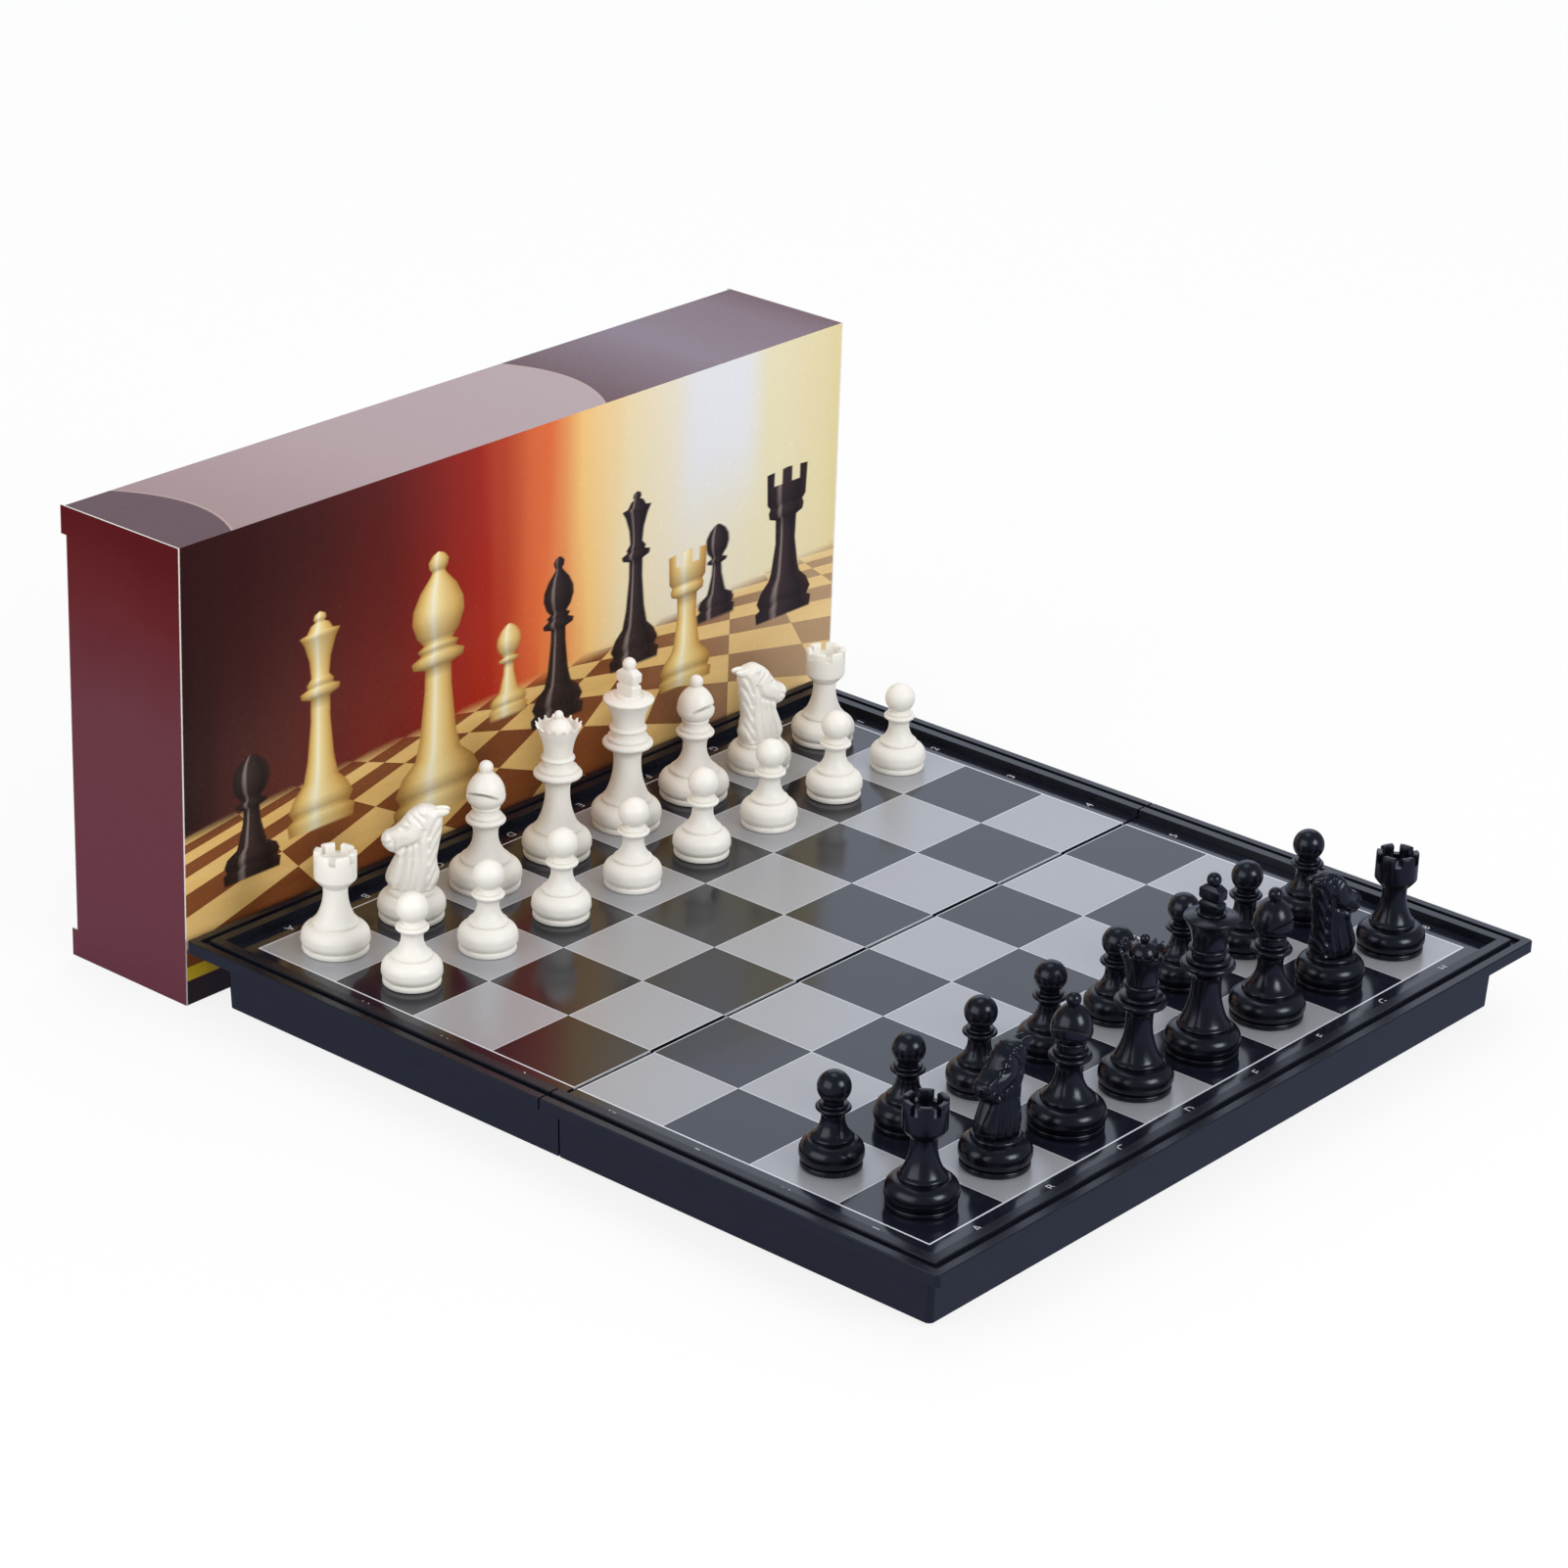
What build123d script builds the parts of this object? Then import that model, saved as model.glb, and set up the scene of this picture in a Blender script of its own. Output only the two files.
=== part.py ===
from build123d import *
import math
import os

# A folding magnetic chess set: the board open with its men set out, and the carton it comes in standing beside it.
# The origin is on the surface the board stands on, below the middle of the fold line.
# +X runs from the white side to the black side, +Y runs along the fold line and +Z is up. Sizes are in millimetres.

# Playing field and its steel plates
squares_across = 8
square_pitch = 35.5
field_inset = 1.0            # from the fold line to the first square
plate_thickness = 0.6
plate_border = 7.6           # plate beyond the squares, under the coordinates
plate_clearance = 0.2        # round the plate, inside the rim
plate_fold_inset = 0.7       # from the fold line to the plate's edge

# Rim that overhangs three sides of each half tray
ridge_height = 3.0           # above the playing face
ridge_width = 3.7
ridge_draft = 0.2            # lean of the ridge's inner face
groove_width = 2.2
groove_depth = 1.3
ledge_width = 3.1
ledge_drop = 0.3             # from the ridge's top to the ledge's top
flange_drop = 1.4            # from the playing face to the overhang's underside
rim_corner_radius = 1.6
rim_edge_radius = 0.45

# Half trays
wall_height = 21.5           # from the playing face to the walls' lower edge
wall_inset_top = 9.0         # from the rim's outer edge to the wall, under the overhang
wall_inset_bottom = 9.8      # the same at the wall's lower edge
wall_thickness = 2.0
deck_thickness = 2.0
fold_gap = 0.35              # from the fold line to each half's centre wall
wall_corner_radius = 2.0
rib_thickness = 1.4
rib_height = 3.0
ribs_along = 3

# Feet of the open board: the locating tabs and the hinge knuckles stand this far below the walls
stand_off = 1.8
tab_width = 7.0
tab_thickness = 2.0
tab_setback = 0.3            # from the wall's inner face to the tab's lip
tab_root_height = 8.0
tab_near_offset = 137.0      # along the end wall, from its middle
tab_far_offset = 120.0

# Hinge
hinge_groups = 3
hinge_group_pitch = 105.0
knuckles_per_group = 5
knuckle_length = 6.0
knuckle_gap = 0.3
knuckle_radius = 2.2
knuckle_notch_clearance = 0.3
knuckle_web = 1.2
pin_radius = 0.7
pin_running_clearance = 0.05
pin_interference = 0.01

# Men: feet, shared by all of them
foot_height = 1.9
foot_inset = 0.45            # the foot's disc is this much smaller than the dome above it
foot_round = 0.5
foot_groove = 1.2            # the groove's floor is this far inside the dome
dome_low = 2.2
dome_edge_inset = 0.95       # the dome's lower edge is this far inside its widest place
dome_widest = 5.0            # height of the dome's widest place
dome_swell = 0.4             # roundness below the widest place
dome_fullness = 0.27         # roundness above it, as a share of the dome's narrowing
bead_low = 9.2
bead_height = 1.6
bead_step = 0.3
edge_swell_share = 0.2       # roundness of the foot's and the bead's edges, as a share of their size
ball_root_share = 0.7        # of a top ball's radius: half the width, and the depth, where it meets its neck
magnet_radius = 6.0
magnet_height = 3.0
magnet_side_gap = 0.15
magnet_face_gap = 0.2        # from the magnet's face to the playing face

# Collars of the men: a flare, a rounded ring and a smaller ring, as shares of the collar's height
collar_flare_share = 0.44
collar_flare_hollow = 0.15   # as a share of the flare's width
collar_ring_share = 0.71
collar_swell_share = 0.085
collar_upper_radius_share = 0.83
collar_upper_low_share = 0.745
collar_upper_top_share = 0.95
collar_upper_swell_share = 0.065

# Pawn
pawn_base_radius = 10.15
pawn_bead_radius = 6.65
pawn_neck_radius = 3.7
pawn_neck_height = 17.3
pawn_stem_hollow = 0.75
pawn_collar_radius = 5.6
pawn_collar_height = 4.4
pawn_nape_radius = 3.15      # under the head
pawn_head_radius = 5.35
pawn_head_centre = 26.7

# Rook
rook_base_radius = 11.6
rook_bead_radius = 7.6
rook_neck_radius = 4.2
rook_neck_height = 22.8
rook_stem_hollow = 1.0
rook_crown_radius = 7.15
rook_crown_flare = 3.2       # height of the crown's sloping underside
rook_height = 35.5
rook_well_radius = 5.1
rook_well_depth = 4.6
rook_slots = 6
rook_slot_width = 2.3
rook_slot_depth = 3.2

# Knight: its head is drawn in side view, forward of the axis and above the playing face
knight_base_radius = 11.55
knight_bead_radius = 8.1
knight_chest = [(6.6, 10.2), (8.9, 12.2), (9.9, 14.4), (8.3, 18.2), (5.5, 22.4)]
knight_muzzle = [(5.5, 22.4), (7.9, 23.2), (9.9, 25.4), (10.4, 28.0), (9.5, 30.5)]
knight_forehead = [(9.5, 30.5), (6.8, 32.4), (4.6, 35.2), (2.7, 38.0), (0.0, 40.4), (-3.6, 41.1), (-7.4, 40.3)]
knight_mane = [(-7.4, 40.3), (-9.8, 37.8), (-10.2, 34.0), (-9.4, 28.0), (-8.4, 21.5), (-9.3, 16.8), (-6.7, 10.2)]
# Its ovals as seen from above: height, middle, half length and half width
knight_ovals = [
    (9.0, 0.0, 9.0, 6.6),
    (14.0, 0.6, 10.4, 6.3),
    (19.0, -0.4, 9.4, 5.2),
    (22.5, -1.2, 9.2, 4.7),
    (27.0, 0.4, 11.2, 4.7),
    (31.0, -0.2, 10.8, 4.7),
    (36.0, -2.9, 9.2, 4.2),
    (42.5, -3.8, 8.4, 3.2),
]
knight_half_width = 6.0      # more than half the head's greatest width
knight_ear_place = (-8.5, 39.5)
knight_ear_spread = 2.0      # from the middle to each ear
knight_ear_length = 6.6
knight_ear_radius = 1.5
knight_ear_tip_radius = 0.35
knight_ear_lean = 97.0       # degrees back from upright
knight_eye_place = (2.6, 34.0)
knight_eye_socket_radius = 1.0
knight_eye_radius = 0.7
knight_eye_depth = 4.45      # from the middle to the socket's centre
knight_eye_set = 0.95        # the eye's centre is this much deeper
knight_nostril_place = (9.2, 28.8)
knight_nostril_depth = 3.3
knight_nostril_radius = 0.6
knight_mouth_place = (9.2, 26.3)
knight_mouth_length = 4.6
knight_mouth_height = 0.5
knight_mouth_tilt = 12.0
knight_locks = 7             # cuts between the locks of the mane
knight_lock_low = (-9.6, 18.3)
knight_lock_rise = 3.2
knight_lock_cut = 0.55
knight_lock_reach = 4.4
knight_lock_tilt = 52.0

# Bishop
bishop_base_radius = 12.6
bishop_bead_radius = 8.6
bishop_neck_radius = 4.4
bishop_neck_height = 20.9
bishop_stem_hollow = 1.35
bishop_collar_radius = 6.9
bishop_collar_height = 5.9
bishop_mitre_base_radius = 4.5
bishop_mitre_base_height = 28.4
bishop_mitre_ring_radius = 4.95
bishop_mitre_ring_height = 1.2
bishop_mitre_radius = 6.6
bishop_mitre_widest = 34.1
bishop_mitre_lower_swell = 0.9
bishop_mitre_upper_swell = 1.2
bishop_mitre_top = 41.7
bishop_ball_radius = 2.45
bishop_slot_width = 0.9
bishop_slot_depth = 4.6
bishop_slot_tilt = 35.0      # degrees from level
bishop_slot_rise = 1.8       # from the mitre's widest place to where the slot starts

# Queen
queen_base_radius = 12.1
queen_bead_radius = 8.2
queen_neck_radius = 4.45
queen_neck_height = 26.3
queen_stem_hollow = 1.2
queen_collar_radius = 8.5
queen_collar_height = 7.1
queen_bead_2_radius = 5.9
queen_bead_2_height = 36.2
queen_crown_root_radius = 5.0
queen_crown_waist_radius = 7.0
queen_crown_waist_height = 45.8
queen_crown_hollow = 0.5
queen_crown_flare = 0.15
queen_crown_radius = 8.15
queen_crown_top = 48.9
queen_crown_wall = 1.2
queen_well_depth = 2.6       # from the points' tips to the rim's inner foot
queen_points = 16
queen_notch_radius = 1.15
queen_notch_stop = 0.5       # from the notches' inner ends to the dome's foot
queen_dome_radius = 4.7
queen_dome_swell = 0.9
queen_ball_radius = 1.6
queen_height = 53.5

# King
king_base_radius = 12.4
king_bead_radius = 8.6
king_neck_radius = 5.0
king_neck_height = 26.8
king_stem_hollow = 1.15
king_collar_radius = 8.9
king_collar_height = 7.4
king_bead_2_radius = 6.6
king_bead_2_height = 36.7
king_crown_root_radius = 5.6
king_crown_radius = 8.85
king_crown_top = 47.9
king_crown_hollow = 0.85
king_crown_edge = 0.9        # height of the crown's rounded edge
king_crown_edge_round = 0.2
king_cone_radius = 5.5       # top of the crown's sloping face
king_cone_height = 0.9
king_button_radius = 4.4     # disc that the cross stands on
king_button_height = 0.9
king_button_round = 0.45
king_button_swell = 0.15
# Its cross, from below: height, width and thickness
king_cross_levels = [
    (48.4, 6.2, 4.0),
    (51.6, 7.8, 4.6),
    (52.6, 7.8, 4.6),
    (53.3, 5.8, 3.6),
    (54.1, 8.0, 4.6),
    (57.2, 8.2, 4.6),
    (58.8, 4.2, 3.2),
]
king_knob_radius = 2.4
king_height = 62.8

# Which way the men that aren't round all over face, in degrees from +X towards +Y
white_knight_facings = (-141.0, 78.0)
black_knight_facings = (-88.0, 78.0)
bishop_facings = (-66.0, 0.0)
king_cross_facing = 0.0      # the cross's arms lie along X

# Carton
carton_length_clearance = 10.0   # inner length over the board's side
carton_height_clearance = 1.6    # inner height over the board's half width
carton_depth_clearance = 4.4     # inner depth over the folded board's thickness
carton_wall = 0.6
carton_gap = 3.3             # from the board's rim to the carton's picture face
carton_shift = 8.3           # along the fold line
glue_flap_width = 15.0
glue_flap_setback = 24.0     # the glue flap is this much shorter than the sleeve at each end
lid_flap_clearance = 0.4     # from the tuck flap to the sleeve's back panel
lid_flap_arc = 15.0          # degrees that the curved tuck flap takes in about the lid's crease
lid_flap_setback = 12.0      # the tuck flap is this much shorter than the lid at each end
lid_ear_height = 10.0
lid_ear_reach = 1.6          # beyond the sleeve's back panel
dust_flap_length = 24.0
dust_flap_width = 45.0
dust_flap_inset = 1.6        # from the picture face
dust_flap_gap = 0.2          # from the lid
dust_flap_back_slope = 7.2   # cut off the flap's corner at the back
dust_flap_front_slope = 2.4

# Places that follow from the sizes above
half_field = squares_across / 2 * square_pitch
field_edge_x = field_inset + half_field
field_edge_y = half_field
rim_foot = plate_border + plate_clearance
ridge_inner = rim_foot + ridge_draft
ridge_outer = ridge_inner + ridge_width
groove_outer = ridge_outer + groove_width
rim_outer = groove_outer + ledge_width
board_edge_x = field_edge_x + rim_outer
wall_top_offset = rim_outer - wall_inset_top
wall_bottom_offset = rim_outer - wall_inset_bottom
mating_z = stand_off
play_z = mating_z + wall_height
plate_seat_z = play_z - plate_thickness
deck_under_z = plate_seat_z - deck_thickness
flange_under_z = play_z - flange_drop
ridge_top_z = play_z + ridge_height
ledge_top_z = ridge_top_z - ledge_drop
knuckle_step = knuckle_length + knuckle_gap
pin_length = knuckles_per_group * knuckle_step - knuckle_gap
centre_wall_inner = fold_gap + wall_thickness
far_cut = 2 * board_edge_x   # larger than anything it trims


def board_outline(offset, z, corner):
    """The playing field's outline grown by offset, at height z."""
    width = 2 * (field_edge_x + offset)
    depth = 2 * (field_edge_y + offset)
    if corner > 0:
        return Pos(0, 0, z) * RectangleRounded(width, depth, corner)
    return Pos(0, 0, z) * Rectangle(width, depth)


def board_block(offset, low, high, corner=0.0):
    """A slab of the board, from height low to height high."""
    return extrude(board_outline(offset, low, corner), high - low)


def board_taper(offset_low, low, offset_high, high, corner=0.0):
    """A slab whose sides lean from one offset to another."""
    return loft([board_outline(offset_low, low, corner), board_outline(offset_high, high, corner)], ruled=True)


def beyond(x, solid):
    """What of a solid lies further out from the fold line than x, on the black side."""
    keep = Pos(x + far_cut / 2, 0, 0) * Box(far_cut, far_cut, far_cut)
    return solid & keep


def top_edges(solid, z):
    """The edges that lie level at height z."""
    return solid.edges().filter_by(lambda e: abs(e.center().Z - z) < 1e-4 and abs(e.bounding_box().size.Z) < 1e-4)


def rim_and_deck():
    """Rim, overhang and deck of the whole board, before it is split at the fold line."""
    ledge = board_block(rim_outer, flange_under_z, ledge_top_z, rim_corner_radius)
    ledge = fillet(top_edges(ledge, ledge_top_z), rim_edge_radius)
    ridge = board_block(ridge_outer, flange_under_z, ridge_top_z, rim_corner_radius / 2)
    ridge = fillet(top_edges(ridge, ridge_top_z), rim_edge_radius)
    groove = board_block(groove_outer, ledge_top_z - groove_depth, ridge_top_z + 1, rim_corner_radius / 2)
    deck = board_block(wall_top_offset, deck_under_z, plate_seat_z, wall_corner_radius)
    recess = board_taper(rim_foot, plate_seat_z, ridge_inner, ridge_top_z)
    return (ledge - groove) + ridge + deck - recess


def knuckle_centres(y_group, owner):
    """Where the knuckles of one half lie along the fold line; the outer and middle ones are the white side's."""
    first = y_group - (knuckles_per_group - 1) / 2 * knuckle_step
    return [first + n * knuckle_step for n in range(knuckles_per_group) if n % 2 == owner]


def hinge_group_centres():
    """Where the hinge groups lie along the fold line."""
    return [(n - (hinge_groups - 1) / 2) * hinge_group_pitch for n in range(hinge_groups)]


def rod(radius, length, y, z):
    """A round bar along the fold line."""
    return Pos(0, y, z) * Rot(90, 0, 0) * Cylinder(radius, length)


def half_tray(owner):
    """A half tray on the black side of the fold line; owner 1 carries the odd knuckles, owner 0 the even ones."""
    shell = board_taper(wall_bottom_offset, mating_z, wall_top_offset, flange_under_z, wall_corner_radius)
    body = beyond(fold_gap, rim_and_deck() + shell)
    cavity = board_taper(
        wall_bottom_offset - wall_thickness, mating_z, wall_top_offset - wall_thickness, deck_under_z
    )
    body -= beyond(centre_wall_inner, cavity)
    # Ribs under the deck, between the centre wall and the end wall and along its middle
    rib_z = deck_under_z - rib_height / 2
    rib_reach = field_edge_x + wall_top_offset - wall_thickness / 2 - centre_wall_inner
    rib_y_reach = 2 * (field_edge_y + wall_top_offset) - wall_thickness
    for n in range(ribs_along):
        y = (n + 1) / (ribs_along + 1) * 2 * field_edge_y - field_edge_y
        body += Pos(centre_wall_inner + rib_reach / 2, y, rib_z) * Box(rib_reach, rib_thickness, rib_height)
    body += Pos(field_edge_x / 2, 0, rib_z) * Box(rib_thickness, rib_y_reach, rib_height)
    # Locating tabs inside the end wall
    wall_inner_x = field_edge_x + wall_bottom_offset - wall_thickness
    for y in (-tab_near_offset, tab_far_offset):
        y = y if owner else -y
        root_x = wall_inner_x - tab_thickness / 2 + tab_setback
        root_reach = tab_thickness + 2 * tab_setback
        body += Pos(root_x, y, mating_z + tab_root_height / 2) * Box(root_reach, tab_width, tab_root_height)
        lip_x = wall_inner_x - tab_setback - tab_thickness / 2
        body += Pos(lip_x, y, mating_z / 2 + tab_root_height / 4) * Box(
            tab_thickness, tab_width, mating_z + tab_root_height / 2
        )
    # Hinge knuckles, their webs, and notches for the other half's knuckles
    below = Pos(0, 0, -knuckle_radius) * Box(far_cut, far_cut, 2 * knuckle_radius)
    for y_group in hinge_group_centres():
        for y in knuckle_centres(y_group, 1 - owner):
            body -= rod(
                knuckle_radius + knuckle_notch_clearance, knuckle_length + 2 * knuckle_gap, y, mating_z
            )
        for y in knuckle_centres(y_group, owner):
            knuckle = rod(knuckle_radius, knuckle_length, y, mating_z) - below
            web_reach = fold_gap + knuckle_web
            web = Pos(web_reach / 2, y, mating_z + knuckle_radius / 2) * Box(
                web_reach, knuckle_length, knuckle_radius
            )
            body += knuckle + web
        bore = pin_radius + pin_running_clearance if owner else pin_radius - pin_interference
        body -= rod(bore, pin_length + 2 * knuckle_gap, y_group, mating_z)
    return body


def play_plate():
    """The steel plate of the black side."""
    low_x = plate_fold_inset
    high_x = field_edge_x + plate_border
    depth = 2 * (field_edge_y + plate_border)
    return Pos((low_x + high_x) / 2, 0, plate_seat_z + plate_thickness / 2) * Box(
        high_x - low_x, depth, plate_thickness
    )


class Outline:
    """Half of a turned outline, drawn upwards from the base: radius along X and height along Z."""

    def __init__(self, radius, height):
        self.low = height
        self.at = (radius, height)
        self.edges = [Line(self.point(0, height), self.point(radius, height))]

    @staticmethod
    def point(radius, height):
        return Vector(radius, 0, height)

    def line(self, radius, height):
        self.edges.append(Line(self.point(*self.at), self.point(radius, height)))
        self.at = (radius, height)
        return self

    def bulge(self, radius, height, swell):
        """An arc to the given point, swelling outwards by swell, or inwards where swell is negative."""
        r0, z0 = self.at
        chord = math.hypot(radius - r0, height - z0)
        out_r = (height - z0) / chord
        out_z = (r0 - radius) / chord
        middle = self.point((r0 + radius) / 2 + out_r * swell, (z0 + height) / 2 + out_z * swell)
        self.edges.append(ThreePointArc(self.point(*self.at), middle, self.point(radius, height)))
        self.at = (radius, height)
        return self

    def turn(self):
        """Closes the outline on the axis and turns it."""
        if self.at[0] > 0:
            self.line(0, self.at[1])
        self.edges.append(Line(self.point(0, self.at[1]), self.point(0, self.low)))
        return revolve(make_face(Wire(self.edges)), Axis.Z)


def foot_outline(base_radius, bead_radius):
    """The foot that every man has: a disc, a groove, a dome and a bead."""
    foot_radius = base_radius - foot_inset
    outline = Outline(foot_radius - foot_round, 0)
    outline.bulge(foot_radius, foot_round, foot_round * edge_swell_share)
    outline.line(foot_radius, foot_height - foot_round)
    outline.bulge(foot_radius - foot_round, foot_height, foot_round * edge_swell_share)
    outline.line(base_radius - foot_groove, foot_height)
    outline.line(base_radius - foot_groove, dome_low)
    outline.line(base_radius - dome_edge_inset, dome_low)
    outline.bulge(base_radius, dome_widest, dome_swell)
    outline.bulge(bead_radius + bead_step, bead_low, (base_radius - bead_radius) * dome_fullness)
    outline.line(bead_radius, bead_low + bead_step / 2)
    outline.bulge(bead_radius - bead_step, bead_low + bead_height, bead_height * edge_swell_share)
    outline.line(bead_radius - 2 * bead_step, bead_low + bead_height + bead_step / 2)
    return outline


def collar(outline, collar_radius, height, neck_radius):
    """A collar: a flare up to a rounded ring, a smaller ring on top, then the given neck radius."""
    z0 = outline.at[1]
    ring_radius = collar_radius - height * collar_swell_share
    outline.bulge(ring_radius, z0 + height * collar_flare_share, -(ring_radius - outline.at[0]) * collar_flare_hollow)
    outline.bulge(ring_radius, z0 + height * collar_ring_share, height * collar_swell_share)
    upper_radius = ring_radius * collar_upper_radius_share
    outline.line(upper_radius, z0 + height * collar_upper_low_share)
    outline.bulge(upper_radius, z0 + height * collar_upper_top_share, height * collar_upper_swell_share)
    outline.line(neck_radius, z0 + height)
    return outline


def with_magnet_recess(body):
    """Cuts the recess for the magnet under a man's base."""
    depth = magnet_face_gap + magnet_height
    return body - Pos(0, 0, depth / 2) * Cylinder(magnet_radius + magnet_side_gap, depth)


def magnet():
    """The disc magnet, glued to the top of its recess."""
    return Pos(0, 0, magnet_face_gap + magnet_height / 2) * Cylinder(magnet_radius, magnet_height)


def pawn():
    outline = foot_outline(pawn_base_radius, pawn_bead_radius)
    outline.bulge(pawn_neck_radius, pawn_neck_height, -pawn_stem_hollow)
    collar(outline, pawn_collar_radius, pawn_collar_height, pawn_nape_radius)
    outline.line(pawn_nape_radius, pawn_head_centre - math.sqrt(pawn_head_radius**2 - pawn_nape_radius**2))
    return outline.turn() + Pos(0, 0, pawn_head_centre) * Sphere(pawn_head_radius)


def rook():
    outline = foot_outline(rook_base_radius, rook_bead_radius)
    outline.bulge(rook_neck_radius, rook_neck_height, -rook_stem_hollow)
    outline.line(rook_crown_radius, rook_neck_height + rook_crown_flare)
    outline.line(rook_crown_radius, rook_height)
    body = outline.turn()
    well_z = rook_height - rook_well_depth / 2
    body -= Pos(0, 0, well_z) * Cylinder(rook_well_radius, rook_well_depth)
    slot_z = rook_height - rook_slot_depth / 2
    for n in range(rook_slots // 2):
        turned = Rot(0, 0, n * 360 / rook_slots)
        body -= turned * Pos(0, 0, slot_z) * Box(3 * rook_crown_radius, rook_slot_width, rook_slot_depth)
    return body


def in_side_view(points):
    """Points of a side view, forward and up, as points in space."""
    return [Vector(forward, 0, up) for forward, up in points]


def knight_profile():
    """The side view of the knight's head, looking along +Y with the muzzle towards +X."""
    runs = [Spline(*in_side_view(run)) for run in (knight_chest, knight_muzzle, knight_forehead, knight_mane)]
    foot = Line(*in_side_view([knight_mane[-1], knight_chest[0]]))
    return make_face(Wire(runs + [foot]))


def knight():
    side = extrude(knight_profile(), knight_half_width * 2, both=True)
    ovals = [Pos(middle, 0, z) * Ellipse(length, width) for z, middle, length, width in knight_ovals]
    head = foot_outline(knight_base_radius, knight_bead_radius).turn() + (side & loft(ovals))
    for hand in (-1, 1):
        forward, up = knight_ear_place
        ear = Cone(knight_ear_radius, knight_ear_tip_radius, knight_ear_length)
        head += Pos(forward, hand * knight_ear_spread, up) * Rot(0, -knight_ear_lean, 0) * ear
        forward, up = knight_eye_place
        head -= Pos(forward, hand * knight_eye_depth, up) * Sphere(knight_eye_socket_radius)
        head += Pos(forward, hand * (knight_eye_depth - knight_eye_set), up) * Sphere(knight_eye_radius)
        forward, up = knight_nostril_place
        head -= Pos(forward, hand * knight_nostril_depth, up) * Sphere(knight_nostril_radius)
    forward, up = knight_mouth_place
    mouth = Box(knight_mouth_length, 2 * knight_half_width, knight_mouth_height)
    head -= Pos(forward, 0, up) * Rot(0, knight_mouth_tilt, 0) * mouth
    forward, up = knight_lock_low
    cut = Rot(0, knight_lock_tilt, 0) * Box(knight_lock_reach, 2 * knight_half_width, knight_lock_cut)
    for n in range(knight_locks):
        head -= Pos(forward, 0, up + n * knight_lock_rise) * cut
    return max(head.solids(), key=lambda solid: solid.volume)


def bishop():
    outline = foot_outline(bishop_base_radius, bishop_bead_radius)
    outline.bulge(bishop_neck_radius, bishop_neck_height, -bishop_stem_hollow)
    collar(outline, bishop_collar_radius, bishop_collar_height, bishop_mitre_base_radius)
    outline.line(bishop_mitre_base_radius, bishop_mitre_base_height)
    ring_top = bishop_mitre_base_height + bishop_mitre_ring_height
    outline.bulge(bishop_mitre_base_radius, ring_top, bishop_mitre_ring_radius - bishop_mitre_base_radius)
    outline.bulge(bishop_mitre_radius, bishop_mitre_widest, bishop_mitre_lower_swell)
    ball_root = bishop_ball_radius * ball_root_share
    outline.bulge(ball_root, bishop_mitre_top, bishop_mitre_upper_swell)
    ball_z = bishop_mitre_top + ball_root
    body = outline.turn() + Pos(0, 0, ball_z) * Sphere(bishop_ball_radius)
    cut_place = Pos(bishop_mitre_radius, 0, bishop_mitre_widest + bishop_slot_rise) * Rot(0, bishop_slot_tilt, 0)
    return body - cut_place * Box(2 * bishop_slot_depth, 4 * bishop_mitre_radius, bishop_slot_width)


def crowned_stem(base, bead, neck, neck_z, hollow, collar_r, collar_h, bead_2, bead_2_z, root):
    """What the queen and the king share: foot, stem, collar and second bead, up to the crown's root."""
    outline = foot_outline(base, bead)
    outline.bulge(neck, neck_z, -hollow)
    collar(outline, collar_r, collar_h, root)
    outline.line(root, bead_2_z - bead_height / 2)
    outline.bulge(root, bead_2_z + bead_height / 2, bead_2 - root)
    return outline


def queen():
    outline = crowned_stem(
        queen_base_radius, queen_bead_radius, queen_neck_radius, queen_neck_height, queen_stem_hollow,
        queen_collar_radius, queen_collar_height, queen_bead_2_radius, queen_bead_2_height, queen_crown_root_radius,
    )
    outline.bulge(queen_crown_waist_radius, queen_crown_waist_height, -queen_crown_hollow)
    outline.bulge(queen_crown_radius, queen_crown_top, -queen_crown_flare)
    outline.line(queen_crown_radius - queen_crown_wall / 2, queen_crown_top)
    well_z = queen_crown_top - queen_well_depth
    outline.line(queen_crown_waist_radius - queen_crown_wall, well_z)
    outline.line(queen_dome_radius, well_z)
    ball_z = queen_height - queen_ball_radius
    ball_root = queen_ball_radius * ball_root_share
    outline.bulge(ball_root, ball_z - ball_root, queen_dome_swell)
    body = outline.turn() + Pos(0, 0, ball_z) * Sphere(queen_ball_radius)
    notch = Pos(queen_crown_radius, 0, queen_crown_top) * Rot(0, 90, 0)
    notch *= Cylinder(queen_notch_radius, 2 * (queen_crown_radius - queen_dome_radius - queen_notch_stop))
    for n in range(queen_points):
        body -= Rot(0, 0, n * 360 / queen_points) * notch
    return body


def king_cross():
    """The cross: a foot, arms and a knob above one another."""
    levels = [Pos(0, 0, z) * Rectangle(width, thickness) for z, width, thickness in king_cross_levels]
    return loft(levels, ruled=True) + Pos(0, 0, king_height - king_knob_radius) * Sphere(king_knob_radius)


def king():
    outline = crowned_stem(
        king_base_radius, king_bead_radius, king_neck_radius, king_neck_height, king_stem_hollow,
        king_collar_radius, king_collar_height, king_bead_2_radius, king_bead_2_height, king_crown_root_radius,
    )
    outline.bulge(king_crown_radius, king_crown_top - king_crown_edge, -king_crown_hollow)
    outline.bulge(king_crown_radius - king_crown_edge_round, king_crown_top, king_crown_edge_round)
    cone_top = king_crown_top + king_cone_height
    outline.line(king_cone_radius, cone_top)
    outline.line(king_button_radius, cone_top - king_cone_height / 2)
    outline.bulge(king_button_radius - king_button_round, cone_top + king_button_height / 2, king_button_swell)
    return outline.turn() + king_cross()


def man(body):
    """A man's moulded body and its magnet, standing on the origin."""
    return with_magnet_recess(body), magnet()


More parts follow.
